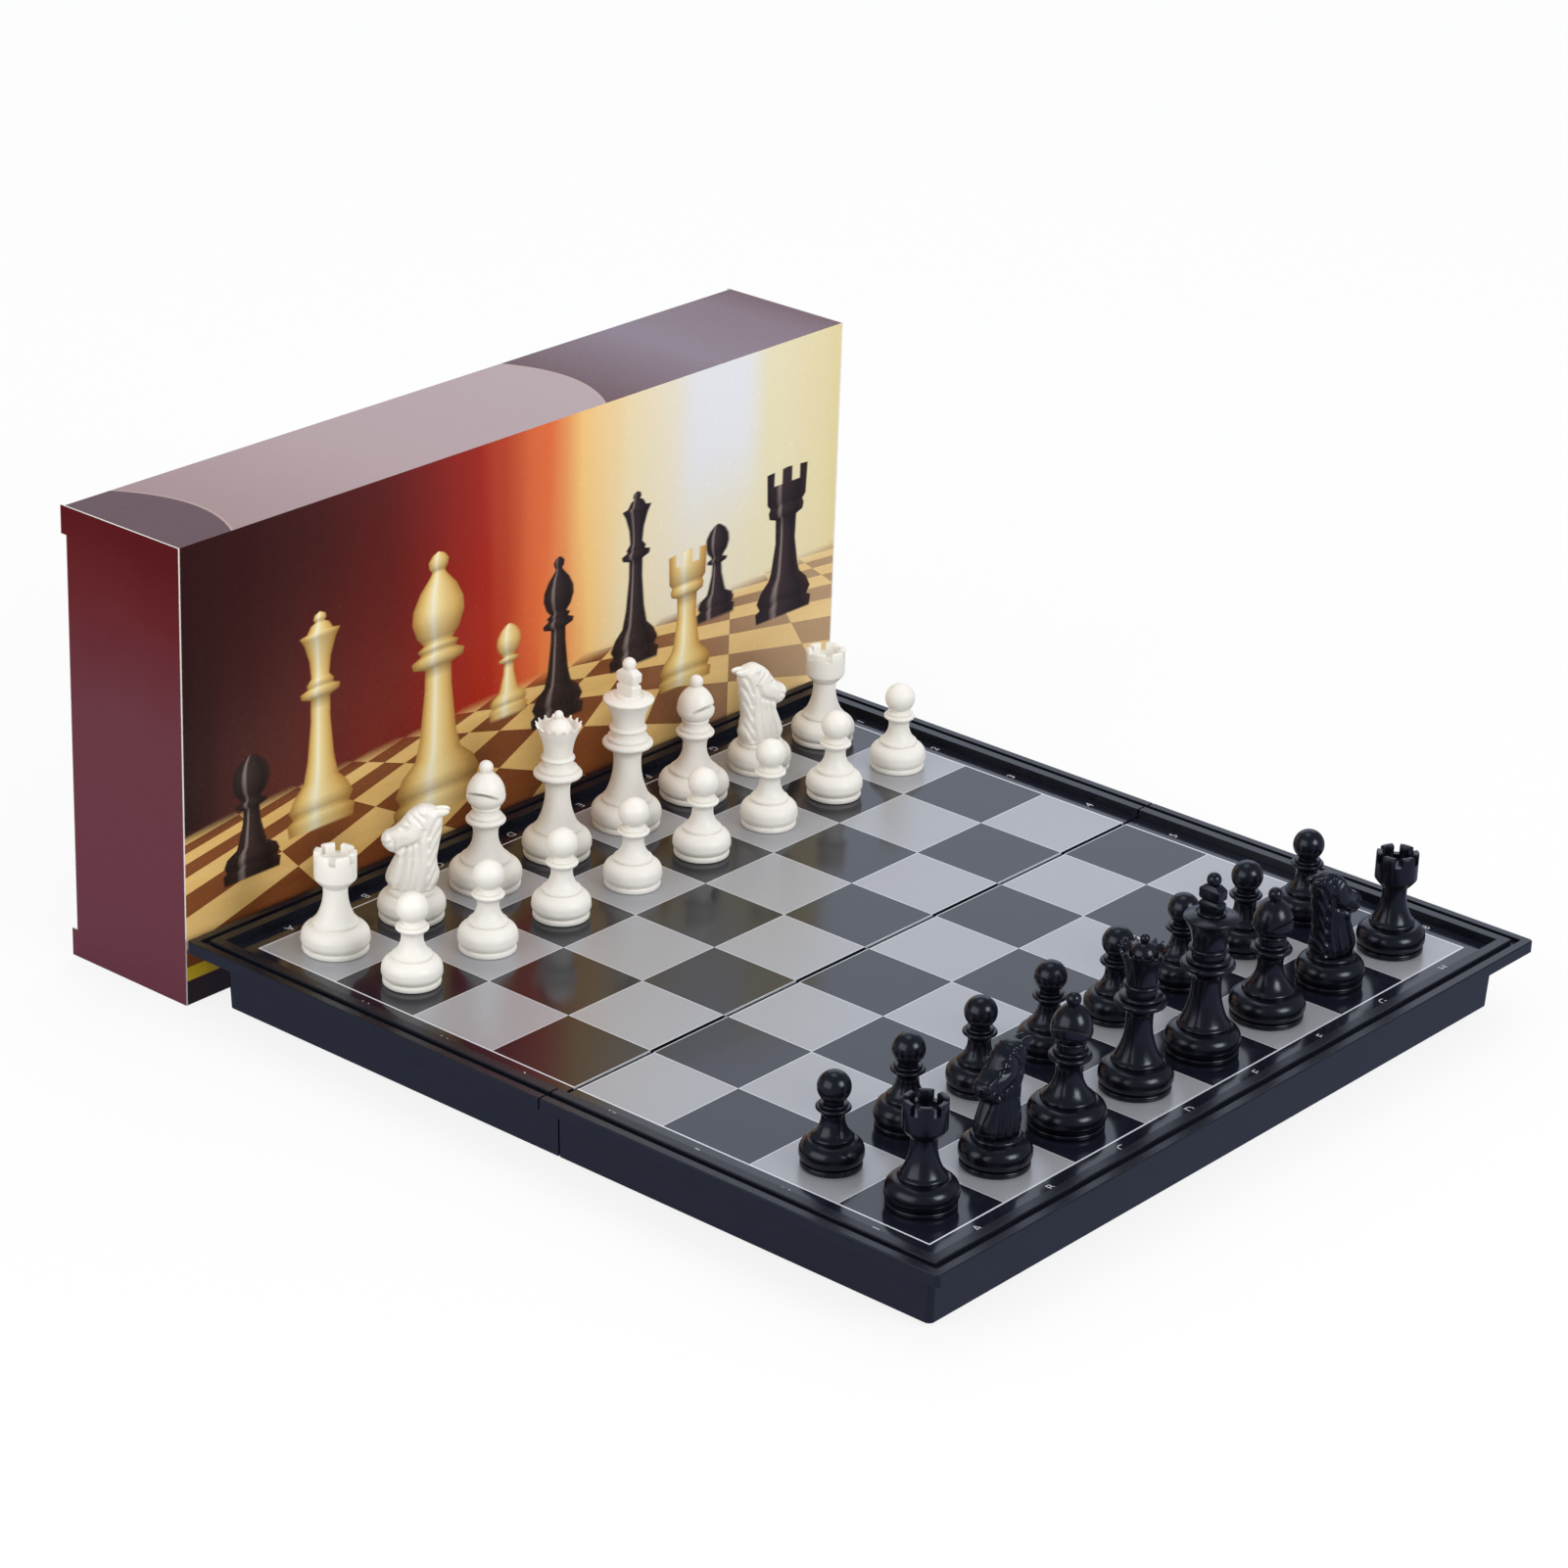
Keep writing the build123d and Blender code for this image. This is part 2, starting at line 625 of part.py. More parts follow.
back_rank = ("rook_1", "knight_1", "bishop_1", "queen", "king", "bishop_2", "knight_2", "rook_2")
forms = {"pawn": pawn(), "rook": rook(), "knight": knight(), "bishop": bishop(), "queen": queen(), "king": king()}
bodies = {name: man(form) for name, form in forms.items()}


def square_centre(file_out, row):
    """The middle of a square: file_out counts from the fold line, row from the near edge."""
    x = field_inset + (file_out + 0.5) * square_pitch
    y = (row + 0.5) * square_pitch - half_field
    return x, y


def facing(colour, name):
    """The angle that a man is turned to."""
    if name.startswith("knight"):
        facings = white_knight_facings if colour == "white" else black_knight_facings
        return facings[int(name[-1]) - 1]
    if name.startswith("bishop"):
        return bishop_facings[int(name[-1]) - 1]
    if name == "king":
        return king_cross_facing
    return 0.0


def stand(form, x, y, angle):
    """A man's two solids, placed on a square and turned."""
    place = Pos(x, y, play_z) * Rot(0, 0, angle)
    return Compound(children=[place * solid for solid in bodies[form]])


def chessmen():
    """All the men by name, on their squares at the start of a game."""
    placed = {}
    for colour, side in (("white", -1), ("black", 1)):
        for row, name in enumerate(back_rank):
            x, y = square_centre(squares_across / 2 - 1, row)
            placed[f"{colour}_{name}"] = stand(name.split("_")[0], side * x, y, facing(colour, name))
        for row in range(squares_across):
            x, y = square_centre(squares_across / 2 - 2, row)
            placed[f"{colour}_pawn_{row + 1}"] = stand("pawn", side * x, y, 0.0)
    return placed


# The carton's corners, with its picture face towards the board
board_edge_y = field_edge_y + rim_outer
folded_thickness = 2 * (ridge_top_z - mating_z)
carton_inner_length = 2 * board_edge_y + carton_length_clearance
carton_inner_height = board_edge_x + carton_height_clearance
carton_inner_depth = folded_thickness + carton_depth_clearance
carton_front_x = -(board_edge_x + carton_gap)
carton_outer_depth = carton_inner_depth + 2 * carton_wall
carton_outer_height = carton_inner_height + 2 * carton_wall
carton_back_x = carton_front_x - carton_outer_depth
carton_middle_x = carton_front_x - carton_outer_depth / 2
carton_near_y = carton_shift - carton_inner_length / 2
carton_far_y = carton_shift + carton_inner_length / 2
lid_reach = carton_wall + carton_inner_depth - lid_flap_clearance


def carton_sleeve():
    """Four panels folded into a tube, with the glue flap inside the back panel."""
    outer = Box(carton_outer_depth, carton_inner_length, carton_outer_height)
    inner = Box(carton_inner_depth, carton_inner_length, carton_inner_height)
    tube = Pos(carton_middle_x, carton_shift, carton_outer_height / 2) * (outer - inner)
    flap_x = carton_back_x + 1.5 * carton_wall
    flap_z = carton_wall + glue_flap_width / 2
    flap_length = carton_inner_length - 2 * glue_flap_setback
    return tube + Pos(flap_x, carton_shift, flap_z) * Box(carton_wall, flap_length, glue_flap_width)


def carton_lid(end):
    """An end lid: panel, curved tuck flap and ears, for the near end (-1) or the far end (+1)."""
    end_y = carton_near_y if end < 0 else carton_far_y
    panel_y = end_y + end * carton_wall / 2
    panel = Pos(carton_front_x - lid_reach / 2, panel_y, carton_outer_height / 2) * Box(
        lid_reach, carton_wall, carton_outer_height
    )
    ear_reach = carton_outer_depth + lid_ear_reach - lid_reach
    ear_x = carton_front_x - lid_reach - ear_reach / 2
    for z in (lid_ear_height / 2, carton_outer_height - lid_ear_height / 2):
        panel += Pos(ear_x, panel_y, z) * Box(ear_reach, carton_wall, lid_ear_height)
    # The tuck flap follows a circle about the crease, so that it leaves the sleeve as the lid swings
    flap_height = carton_outer_height - 2 * lid_flap_setback
    ring = Cylinder(lid_reach, flap_height) - Cylinder(lid_reach - carton_wall, flap_height)
    spread = math.radians(lid_flap_arc)
    far = 2 * lid_reach
    wedge = make_face(
        Polyline(
            [(0, 0, 0), (-far, 0, 0), (-far * math.cos(spread), -end * far * math.sin(spread), 0)], close=True
        )
    )
    arc = ring & extrude(wedge, flap_height / 2, both=True)
    return panel + Pos(carton_front_x, end_y, carton_outer_height / 2) * arc


def dust_flap(end, upper):
    """A dust flap behind a lid, hanging from the top panel or standing on the bottom one, with cut corners."""
    end_y = carton_near_y if end < 0 else carton_far_y
    y = end_y - end * (dust_flap_gap + carton_wall / 2)
    root_z = carton_outer_height - carton_wall if upper else carton_wall
    tip_z = root_z - dust_flap_length if upper else root_z + dust_flap_length
    front = carton_front_x - carton_wall - dust_flap_inset
    back = front - dust_flap_width
    tip_front = front - dust_flap_front_slope
    tip_back = back + dust_flap_back_slope
    points = [(front, root_z), (back, root_z), (tip_back, tip_z), (tip_front, tip_z)]
    face = make_face(Polyline([(x, y, z) for x, z in points], close=True))
    return extrude(face, carton_wall / 2, both=True, dir=(0, 1, 0))


def hinge_pins():
    """One pin in each group of knuckles."""
    return Compound(children=[rod(pin_radius, pin_length, y, mating_z) for y in hinge_group_centres()])


nodes = {
    "tray_white_side": mirror(half_tray(0), Plane.YZ),
    "tray_black_side": half_tray(1),
    "play_plate_white_side": mirror(play_plate(), Plane.YZ),
    "play_plate_black_side": play_plate(),
    "hinge_pins": hinge_pins(),
    "carton_sleeve": carton_sleeve(),
    "carton_lid_near": carton_lid(-1),
    "carton_lid_far": carton_lid(1),
    "carton_dust_flap_near_top": dust_flap(-1, True),
    "carton_dust_flap_near_bottom": dust_flap(-1, False),
    "carton_dust_flap_far_top": dust_flap(1, True),
    "carton_dust_flap_far_bottom": dust_flap(1, False),
}
nodes.update(chessmen())

os.makedirs("parts", exist_ok=True)
for name, shape in nodes.items():
    export_step(shape, f"parts/{name}.step")
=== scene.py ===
import math

import bpy
import numpy as np
from mathutils import Matrix, Vector


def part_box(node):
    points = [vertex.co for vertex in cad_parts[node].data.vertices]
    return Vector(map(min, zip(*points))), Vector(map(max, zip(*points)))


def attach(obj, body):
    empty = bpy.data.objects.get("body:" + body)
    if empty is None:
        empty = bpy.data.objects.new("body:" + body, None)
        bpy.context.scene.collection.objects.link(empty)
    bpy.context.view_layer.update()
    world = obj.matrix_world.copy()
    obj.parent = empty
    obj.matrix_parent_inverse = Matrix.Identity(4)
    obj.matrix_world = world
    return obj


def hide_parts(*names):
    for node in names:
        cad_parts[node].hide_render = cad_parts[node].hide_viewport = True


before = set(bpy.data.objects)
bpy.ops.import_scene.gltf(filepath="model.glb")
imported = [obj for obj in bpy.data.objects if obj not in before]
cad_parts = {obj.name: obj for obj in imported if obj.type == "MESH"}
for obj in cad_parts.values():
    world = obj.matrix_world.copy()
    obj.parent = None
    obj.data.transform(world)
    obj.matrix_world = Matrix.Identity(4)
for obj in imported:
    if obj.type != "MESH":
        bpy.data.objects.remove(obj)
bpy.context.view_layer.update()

# Sizes in millimetres, as on the parts themselves
MM = 0.001
PER_METRE = 1000.0
SQUARE = 35.5
FIELD_INSET = 1.0
HALF_FIELD = 4 * SQUARE
FIELD_EDGE_X = FIELD_INSET + HALF_FIELD
PLAY_Z = 23.3


class Value:
    """A number that varies over a surface; arithmetic on it adds Math nodes."""

    def __init__(self, finish, socket):
        self.finish = finish
        self.socket = socket

    def maths(self, operation, *values):
        return self.finish.node("ShaderNodeMath", {"operation": operation}, list(values))

    def __add__(self, other):
        return self.maths("ADD", self, other)

    __radd__ = __add__

    def __sub__(self, other):
        return self.maths("SUBTRACT", self, other)

    def __rsub__(self, other):
        return self.maths("SUBTRACT", other, self)

    def __mul__(self, other):
        return self.maths("MULTIPLY", self, other)

    __rmul__ = __mul__

    def __truediv__(self, other):
        return self.maths("DIVIDE", self, other)

    def __abs__(self):
        return self.maths("ABSOLUTE", self)

    def floor(self):
        return self.maths("FLOOR", self)

    def fract(self):
        return self.maths("FRACT", self)

    def least(self, other):
        return self.maths("MINIMUM", self, other)

    def most(self, other):
        return self.maths("MAXIMUM", self, other)

    def clamp(self):
        return self.most(0.0).least(1.0)

    def ramp(self, low, high):
        """0 below low and 1 above high, with a smooth change between."""
        settings = {"interpolation_type": "SMOOTHSTEP"}
        return self.finish.node("ShaderNodeMapRange", settings, [self, low, high, 0.0, 1.0])

    def band(self, centre, half_width, soft):
        """1 within half_width of centre, 0 beyond, with a soft edge."""
        return 1.0 - abs(self - centre).ramp(half_width, half_width + soft)


class Finish:
    """A material on the standard surface shader."""

    def __init__(self, name, **constants):
        self.material = bpy.data.materials.new(name)
        self.material.use_nodes = True
        self.nodes = self.material.node_tree.nodes
        self.links = self.material.node_tree.links
        self.nodes.clear()
        self.output = self.nodes.new("ShaderNodeOutputMaterial")
        self.surface = self.nodes.new("ShaderNodeBsdfPrincipled")
        self.links.new(self.surface.outputs[0], self.output.inputs["Surface"])
        for key, value in constants.items():
            self.set(key.replace("_", " "), value)

    def set(self, socket, value):
        """A constant or a link on one of the shader's sockets."""
        self.join(self.surface.inputs[socket], value)

    def join(self, socket, value):
        if isinstance(value, Value):
            self.links.new(value.socket, socket)
        elif isinstance(value, (tuple, list)) and len(value) == 3 and len(socket.default_value) == 4:
            socket.default_value = (*value, 1.0)
        else:
            socket.default_value = value

    def node(self, kind, settings=None, values=(), output=0):
        """Adds a node: its settings first, then the values or links of its sockets in order."""
        node = self.nodes.new(kind)
        for key, value in (settings or {}).items():
            if key == "stops":
                stops = node.color_ramp.elements
                while len(stops) < len(value):
                    stops.new(0.5)
                for stop, (place, colour) in zip(stops, value):
                    stop.position = place
                    stop.color = (*colour, 1.0)
            else:
                setattr(node, key, value)
        pairs = values.items() if isinstance(values, dict) else enumerate(values)
        for slot, value in pairs:
            self.join(node.inputs[slot], value)
        return Value(self, node.outputs[output])

    def parts(self, vector):
        """The three numbers of a vector."""
        return [self.node("ShaderNodeSeparateXYZ", {}, [vector], n) for n in range(3)]

    def place(self):
        """The point on the object, in millimetres, as three values."""
        return [part * PER_METRE for part in self.parts(self.node("ShaderNodeTexCoord", output="Object"))]

    def facing(self):
        """The direction that the surface faces on the piece itself, however it is turned, as three values."""
        return self.parts(self.node("ShaderNodeTexCoord", output="Normal"))

    def noise(self, scale, detail=2.0, stretch=(1.0, 1.0, 1.0), roughness=0.5):
        """Grain with scale features to the metre, longer where stretch is small."""
        point = self.node("ShaderNodeTexCoord", output="Object")
        point = self.node("ShaderNodeMapping", {}, {"Vector": point, "Scale": stretch})
        inputs = {"Vector": point, "Scale": scale, "Detail": detail, "Roughness": roughness}
        return self.node("ShaderNodeTexNoise", {}, inputs)

    def mix(self, share, first, second):
        """A colour between two others."""
        return self.node("ShaderNodeMix", {"data_type": "RGBA"}, {0: share, 6: first, 7: second}, output=2)

    def gradient(self, share, stops):
        return self.node("ShaderNodeValToRGB", {"stops": stops}, [share])

    def bump(self, height, strength, distance):
        """Relief, with its depth in metres."""
        relief = self.node("ShaderNodeBump", {}, {"Height": height, "Strength": strength, "Distance": distance})
        self.set("Normal", relief)


def moulded_plastic(name, colour, other, roughness, grain, specular):
    """Moulded plastic: a little variation in colour and gloss, and the fine texture of the mould."""
    finish = Finish(name, Specular_IOR_Level=specular, Specular_Tint=(0.82, 0.88, 1.0))
    cloud = finish.noise(90.0, 3.0)
    finish.set("Base Color", finish.mix(cloud, colour, other))
    finish.set("Roughness", roughness + 0.09 * (cloud - 0.5))
    finish.bump(finish.noise(2600.0, 2.0), grain, 0.00004)
    return finish.material


ivory = moulded_plastic(
    "ivory_plastic", (0.89, 0.862, 0.802), (0.87, 0.835, 0.762), roughness=0.32, grain=0.10, specular=0.36
)
black = moulded_plastic(
    "black_plastic", (0.002, 0.002, 0.004), (0.004, 0.004, 0.008), roughness=0.24, grain=0.12, specular=0.46
)
tray_plastic = moulded_plastic(
    "tray_plastic", (0.006, 0.007, 0.011), (0.009, 0.010, 0.016), roughness=0.28, grain=0.20, specular=0.36
)

# Print on the plates, in millimetres from a square's edge: where each tone starts to fade, and where it is gone
LIGHT_EDGE = (0.22, 0.42)
DARK_EDGE = (0.20, 0.60)
# The line round the field: half its width, and how far it fades beyond
BORDER_LINE_HALF_WIDTH = 0.22
BORDER_LINE_SOFT = 0.15


def printed_steel(name, silver_first):
    """The lacquered print of one half: silver squares with a light edge, dark squares, and the border line."""
    finish = Finish(name, Specular_IOR_Level=0.52)
    x, y, _ = finish.place()
    across = (abs(x) - FIELD_INSET) / SQUARE
    along = (y + HALF_FIELD) / SQUARE
    odd = ((across.floor() + along.floor()) / 2.0).fract() * 2.0
    silver = odd if silver_first else 1.0 - odd
    edge_across = (0.5 - abs(across.fract() - 0.5)) * SQUARE
    edge_along = (0.5 - abs(along.fract() - 0.5)) * SQUARE
    from_edge = edge_across.least(edge_along)
    inside = (FIELD_EDGE_X - abs(x)).least(HALF_FIELD - abs(y))
    in_field = inside.ramp(-0.05, 0.05)
    silver_area = silver * in_field
    rim_light = silver_area * (1.0 - from_edge.ramp(*LIGHT_EDGE))
    dark_edge = (1.0 - silver) * in_field * (1.0 - from_edge.ramp(*DARK_EDGE))
    border_line = inside.band(0.0, BORDER_LINE_HALF_WIDTH, BORDER_LINE_SOFT)
    cloud = finish.noise(60.0, 3.0)
    flake = finish.noise(5200.0, 1.0)
    dark = finish.mix(cloud, (0.006, 0.007, 0.014), (0.009, 0.010, 0.019))
    dark = finish.mix(dark_edge * 0.8, dark, (0.003, 0.003, 0.004))
    silver_tone = finish.mix(flake.ramp(0.3, 0.7), (0.345, 0.350, 0.375), (0.415, 0.420, 0.445))
    colour = finish.mix(silver_area, dark, silver_tone)
    colour = finish.mix(rim_light.most(border_line), colour, (0.70, 0.72, 0.78))
    finish.set("Base Color", colour)
    finish.set("Roughness", 0.13 + 0.16 * silver_area + 0.04 * (cloud - 0.5))
    finish.set("Metallic", 0.25 * silver_area)
    finish.bump(flake * silver_area + cloud * 0.5, 0.10, 0.00003)
    return finish.material


def pin_steel():
    """Bare drawn steel wire."""
    finish = Finish("pin_steel", Metallic=1.0)
    streak = finish.noise(900.0, 2.0, (6.0, 0.4, 6.0))
    finish.set("Base Color", finish.mix(streak, (0.45, 0.45, 0.47), (0.62, 0.62, 0.64)))
    finish.set("Roughness", 0.28 + 0.15 * streak)
    return finish.material


# The carton, with its picture face towards the board
CARTON_LOW, CARTON_HIGH = (corner * PER_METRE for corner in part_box("carton_sleeve"))
CARTON_LONG = CARTON_HIGH.y - CARTON_LOW.y
CARTON_DEEP = CARTON_HIGH.x - CARTON_LOW.x
CARTON_MIDDLE = (CARTON_LOW + CARTON_HIGH) / 2

MAROON = (0.108, 0.011, 0.012)
MAROON_RED = (0.084, 0.003, 0.003)
MAROON_DUSK = (0.118, 0.031, 0.046)
MAROON_MIDDLE = (0.120, 0.030, 0.042)
RAW_BOARD = (0.78, 0.76, 0.71)


def varnished(finish, colour):
    """Sets a printed colour under varnish, with the board's slight waviness."""
    wave = finish.noise(14.0, 2.0)
    fibre = finish.noise(420.0, 3.0)
    finish.set("Base Color", colour)
    finish.set("Roughness", 0.26 + 0.10 * (fibre - 0.5))
    finish.bump(wave * 6.0 + fibre * 0.06, 0.16, 0.0004)


def maroon_print(finish, z):
    """The plain maroon of the ends and the back, redder towards the top and dusky towards the foot."""
    cloud = finish.noise(18.0, 3.0)
    high = (z / CARTON_HIGH.z + (cloud - 0.5) * 0.25).clamp()
    return finish.gradient(
        high, [(0.0, MAROON_DUSK), (0.60, MAROON_MIDDLE), (0.80, MAROON), (0.97, MAROON_RED)]
    )


# How far a face looks outwards, in millimetres times its direction, from raw board to print
OUTWARD = (1.0, 8.0)


def carton_end_board():
    """Lids and dust flaps: printed outside, raw greyish board inside and at the cut edges."""
    finish = Finish("carton_end_board", Specular_IOR_Level=0.10)
    _, y, z = finish.place()
    _, ny, _ = finish.facing()
    printed = ((y - CARTON_MIDDLE.y) * ny).ramp(*OUTWARD)
    varnished(finish, finish.mix(printed, RAW_BOARD, maroon_print(finish, z)))
    return finish.material


# Outlines of the men in the carton's picture: height and half width, as shares of a man's height
PICTURE_MEN = {
    "pawn": [
        (0.00, 0.30), (0.07, 0.31), (0.09, 0.27), (0.14, 0.30), (0.20, 0.27), (0.25, 0.17), (0.30, 0.15),
        (0.45, 0.105), (0.56, 0.095), (0.58, 0.17), (0.61, 0.18), (0.63, 0.11), (0.66, 0.13), (0.70, 0.175),
        (0.78, 0.205), (0.86, 0.195), (0.93, 0.145), (0.98, 0.07), (1.00, 0.0),
    ],
    "rook": [
        (0.00, 0.27), (0.06, 0.28), (0.08, 0.24), (0.13, 0.27), (0.20, 0.23), (0.26, 0.16), (0.31, 0.14),
        (0.50, 0.105), (0.66, 0.11), (0.68, 0.17), (0.72, 0.18), (0.75, 0.165), (0.78, 0.195), (0.985, 0.205),
        (1.00, 0.0),
    ],
    "bishop": [
        (0.00, 0.22), (0.05, 0.23), (0.07, 0.195), (0.11, 0.22), (0.17, 0.185), (0.22, 0.12), (0.30, 0.095),
        (0.48, 0.072), (0.56, 0.07), (0.575, 0.13), (0.60, 0.138), (0.62, 0.09), (0.64, 0.108), (0.655, 0.075),
        (0.69, 0.11), (0.75, 0.135), (0.80, 0.13), (0.86, 0.095), (0.91, 0.045), (0.925, 0.035), (0.94, 0.05),
        (0.965, 0.055), (0.99, 0.032), (1.00, 0.0),
    ],
    "queen": [
        (0.00, 0.20), (0.05, 0.21), (0.07, 0.175), (0.11, 0.20), (0.17, 0.165), (0.22, 0.11), (0.32, 0.085),
        (0.50, 0.065), (0.60, 0.065), (0.615, 0.118), (0.64, 0.125), (0.655, 0.08), (0.67, 0.09), (0.70, 0.06),
        (0.78, 0.07), (0.86, 0.10), (0.90, 0.128), (0.905, 0.085), (0.94, 0.06), (0.95, 0.034), (0.965, 0.045),
        (0.985, 0.038), (1.00, 0.0),
    ],
}
# Where they stand in the picture, in millimetres: kind, middle along, foot, height, soft edge, and whether pale
PICTURE_LAYOUT = [
    ("pawn", 153, 60, 34, 2.0, True), ("pawn", 262, 66, 36, 1.8, False), ("queen", 218, 60, 66, 1.4, False),
    ("bishop", 178, 50, 62, 1.2, False), ("rook", 300, 56, 58, 1.1, False), ("queen", 62, 46, 78, 1.1, True),
    ("pawn", 30, 38, 44, 1.0, False), ("bishop", 118, 34, 96, 0.7, True), ("rook", 246, 44, 52, 0.8, True),
]
PALE_WOOD = [
    (0.00, (0.40, 0.190, 0.040)), (0.16, (0.76, 0.500, 0.150)), (0.30, (0.90, 0.720, 0.330)),
    (0.40, (0.96, 0.900, 0.660)), (0.52, (0.90, 0.720, 0.330)), (0.80, (0.72, 0.460, 0.140)),
    (1.00, (0.42, 0.200, 0.040)),
]
DARK_WOOD = [
    (0.00, (0.020, 0.010, 0.009)), (0.24, (0.030, 0.016, 0.014)), (0.33, (0.260, 0.200, 0.180)),
    (0.40, (0.045, 0.026, 0.024)), (0.80, (0.016, 0.009, 0.009)), (1.00, (0.045, 0.018, 0.012)),
]


# Battlements of the picture's rooks, as shares of a man's height
PICTURE_SLOT_PLACE = 0.085
PICTURE_SLOT_HALF_WIDTH = 0.028
PICTURE_SLOT_FOOT = (0.89, 0.90)
# Shading of the picture's men: level faces, how much an underside darkens, and the darkest
LEVEL_LIGHT = 0.90
UNDERSIDE_SHADE = 0.60
LEAST_LIGHT = 0.15


def picture_man(finish, picture, y, z, kind, middle, foot_z, tall, soft, pale):
    """Prints one man of the carton's picture, shaded as a turned form, over what is printed so far."""
    outline = PICTURE_MEN[kind]
    across = (y - (CARTON_LOW.y + middle)) / tall
    up = (z - foot_z) / tall
    half = finish.gradient(up, [(height, (width,) * 3) for height, width in outline])
    cover = (half - abs(across)).ramp(0.0, soft / tall) * up.ramp(-soft / tall, 0.0)
    if kind == "rook":
        slot = abs(across).band(PICTURE_SLOT_PLACE, PICTURE_SLOT_HALF_WIDTH, soft / tall)
        slot = slot * up.ramp(*PICTURE_SLOT_FOOT)
        cover = cover * (1.0 - slot)
    tone = finish.gradient(across / half.most(0.01) * 0.5 + 0.5, PALE_WOOD if pale else DARK_WOOD)
    # Undersides are dark and upper sides light
    stops = []
    for (low, narrow), (high, wide) in zip(outline, outline[1:]):
        down = (wide - narrow) / math.hypot(wide - narrow, high - low)
        light = min(1.0, max(LEAST_LIGHT, LEVEL_LIGHT - UNDERSIDE_SHADE * down))
        stops.append(((low + high) / 2, (light,) * 3))
    shade = (0.090, 0.022, 0.008) if pale else (0.008, 0.004, 0.004)
    tone = finish.mix(finish.gradient(up, stops), shade, tone)
    return finish.mix(cover, picture, tone)


# Floor of the picture, in millimetres up the face, and how its squares lie
FLOOR_LINE = 60.0
FLOOR_LINE_RISE = 16.0
HORIZON_OVER_FLOOR = 30.0
FLOOR_FRONT = 14.0
LEAST_BELOW_HORIZON = 6.0
FLOOR_SQUARE = 46.0
FLOOR_DEPTH = 2.9
FLOOR_ACROSS, FLOOR_ALONG = 0.62, 0.78
# Strips along the foot of the face: where each one's top edge starts to fade and where it has gone
YELLOW_STRIP_TOP = (13.6, 14.0)
DARK_STRIP_TOP = (8.6, 9.0)


def carton_picture(finish, y, z):
    """The picture face: bands of warm light over a chequered floor, with turned men standing on it."""
    along = (y - CARTON_LOW.y) / CARTON_LONG
    up = z / CARTON_HIGH.z
    drift = finish.noise(9.0, 2.0, (1.0, 1.0, 0.25))
    streak = finish.noise(34.0, 2.0, (1.0, 1.0, 0.10))
    warm = (along + (drift - 0.5) * 0.14 + (streak - 0.5) * 0.12).clamp()
    glow = finish.gradient(
        warm,
        [
            (0.00, (0.020, 0.007, 0.007)), (0.12, (0.100, 0.022, 0.017)), (0.28, (0.200, 0.016, 0.010)),
            (0.42, (0.420, 0.020, 0.008)), (0.51, (0.760, 0.150, 0.040)), (0.57, (0.900, 0.560, 0.190)),
            (0.64, (0.840, 0.700, 0.430)), (0.76, (0.800, 0.740, 0.600)), (0.88, (0.800, 0.720, 0.480)),
            (1.00, (0.760, 0.640, 0.340)),
        ],
    )
    # A dark curtain gathers high up on the left, and a cool window of light stands high up on the right
    curtain = (1.0 - along.ramp(0.10, 0.55)) * up.ramp(0.35, 0.95)
    glow = finish.mix(curtain * 0.75, glow, (0.030, 0.005, 0.005))
    window = along.band(0.80, 0.035, 0.05) * up.ramp(0.55, 0.85)
    glow = finish.mix(window * 0.8, glow, (0.760, 0.780, 0.860))
    # The floor is seen in perspective, with the squares turned to the picture
    floor_line = FLOOR_LINE + FLOOR_LINE_RISE * along
    horizon = floor_line + HORIZON_OVER_FLOOR
    distance = (horizon - FLOOR_FRONT) / (horizon - z).most(LEAST_BELOW_HORIZON)
    sideways = (y - CARTON_MIDDLE.y) * distance / FLOOR_SQUARE
    deep = distance * FLOOR_DEPTH
    first = (sideways * FLOOR_ACROSS + deep * FLOOR_ALONG).floor()
    second = (deep * FLOOR_ACROSS - sideways * FLOOR_ALONG).floor()
    light_square = ((first + second) / 2.0).fract() * 2.0
    grain = finish.noise(70.0, 4.0, (1.0, 0.25, 2.0))
    gold = finish.mix(grain, (0.640, 0.360, 0.090), (0.860, 0.600, 0.240))
    brown = finish.mix(grain, (0.150, 0.040, 0.012), (0.280, 0.090, 0.026))
    wood = finish.mix(light_square, brown, gold)
    wood = finish.mix(along.ramp(0.6, 1.0) * 0.35, wood, (0.900, 0.720, 0.420))
    picture = finish.mix(1.0 - (z - floor_line).ramp(-3.0, 3.0), glow, wood)
    for man in PICTURE_LAYOUT:
        picture = picture_man(finish, picture, y, z, *man)
    # A yellow strip and a dark one run along the foot of the face
    picture = finish.mix(1.0 - z.ramp(*YELLOW_STRIP_TOP), picture, (0.66, 0.46, 0.02))
    return finish.mix(1.0 - z.ramp(*DARK_STRIP_TOP), picture, (0.022, 0.004, 0.005))


# The paler panel on top, in millimetres from the near end: where its two ends lie and how far they lean
PANEL_START, PANEL_START_LEAN = 20.0, 3.0
PANEL_END, PANEL_END_LEAN = 204.4, 4.0
PANEL_BOW = 36.0             # four times how far the ends bow


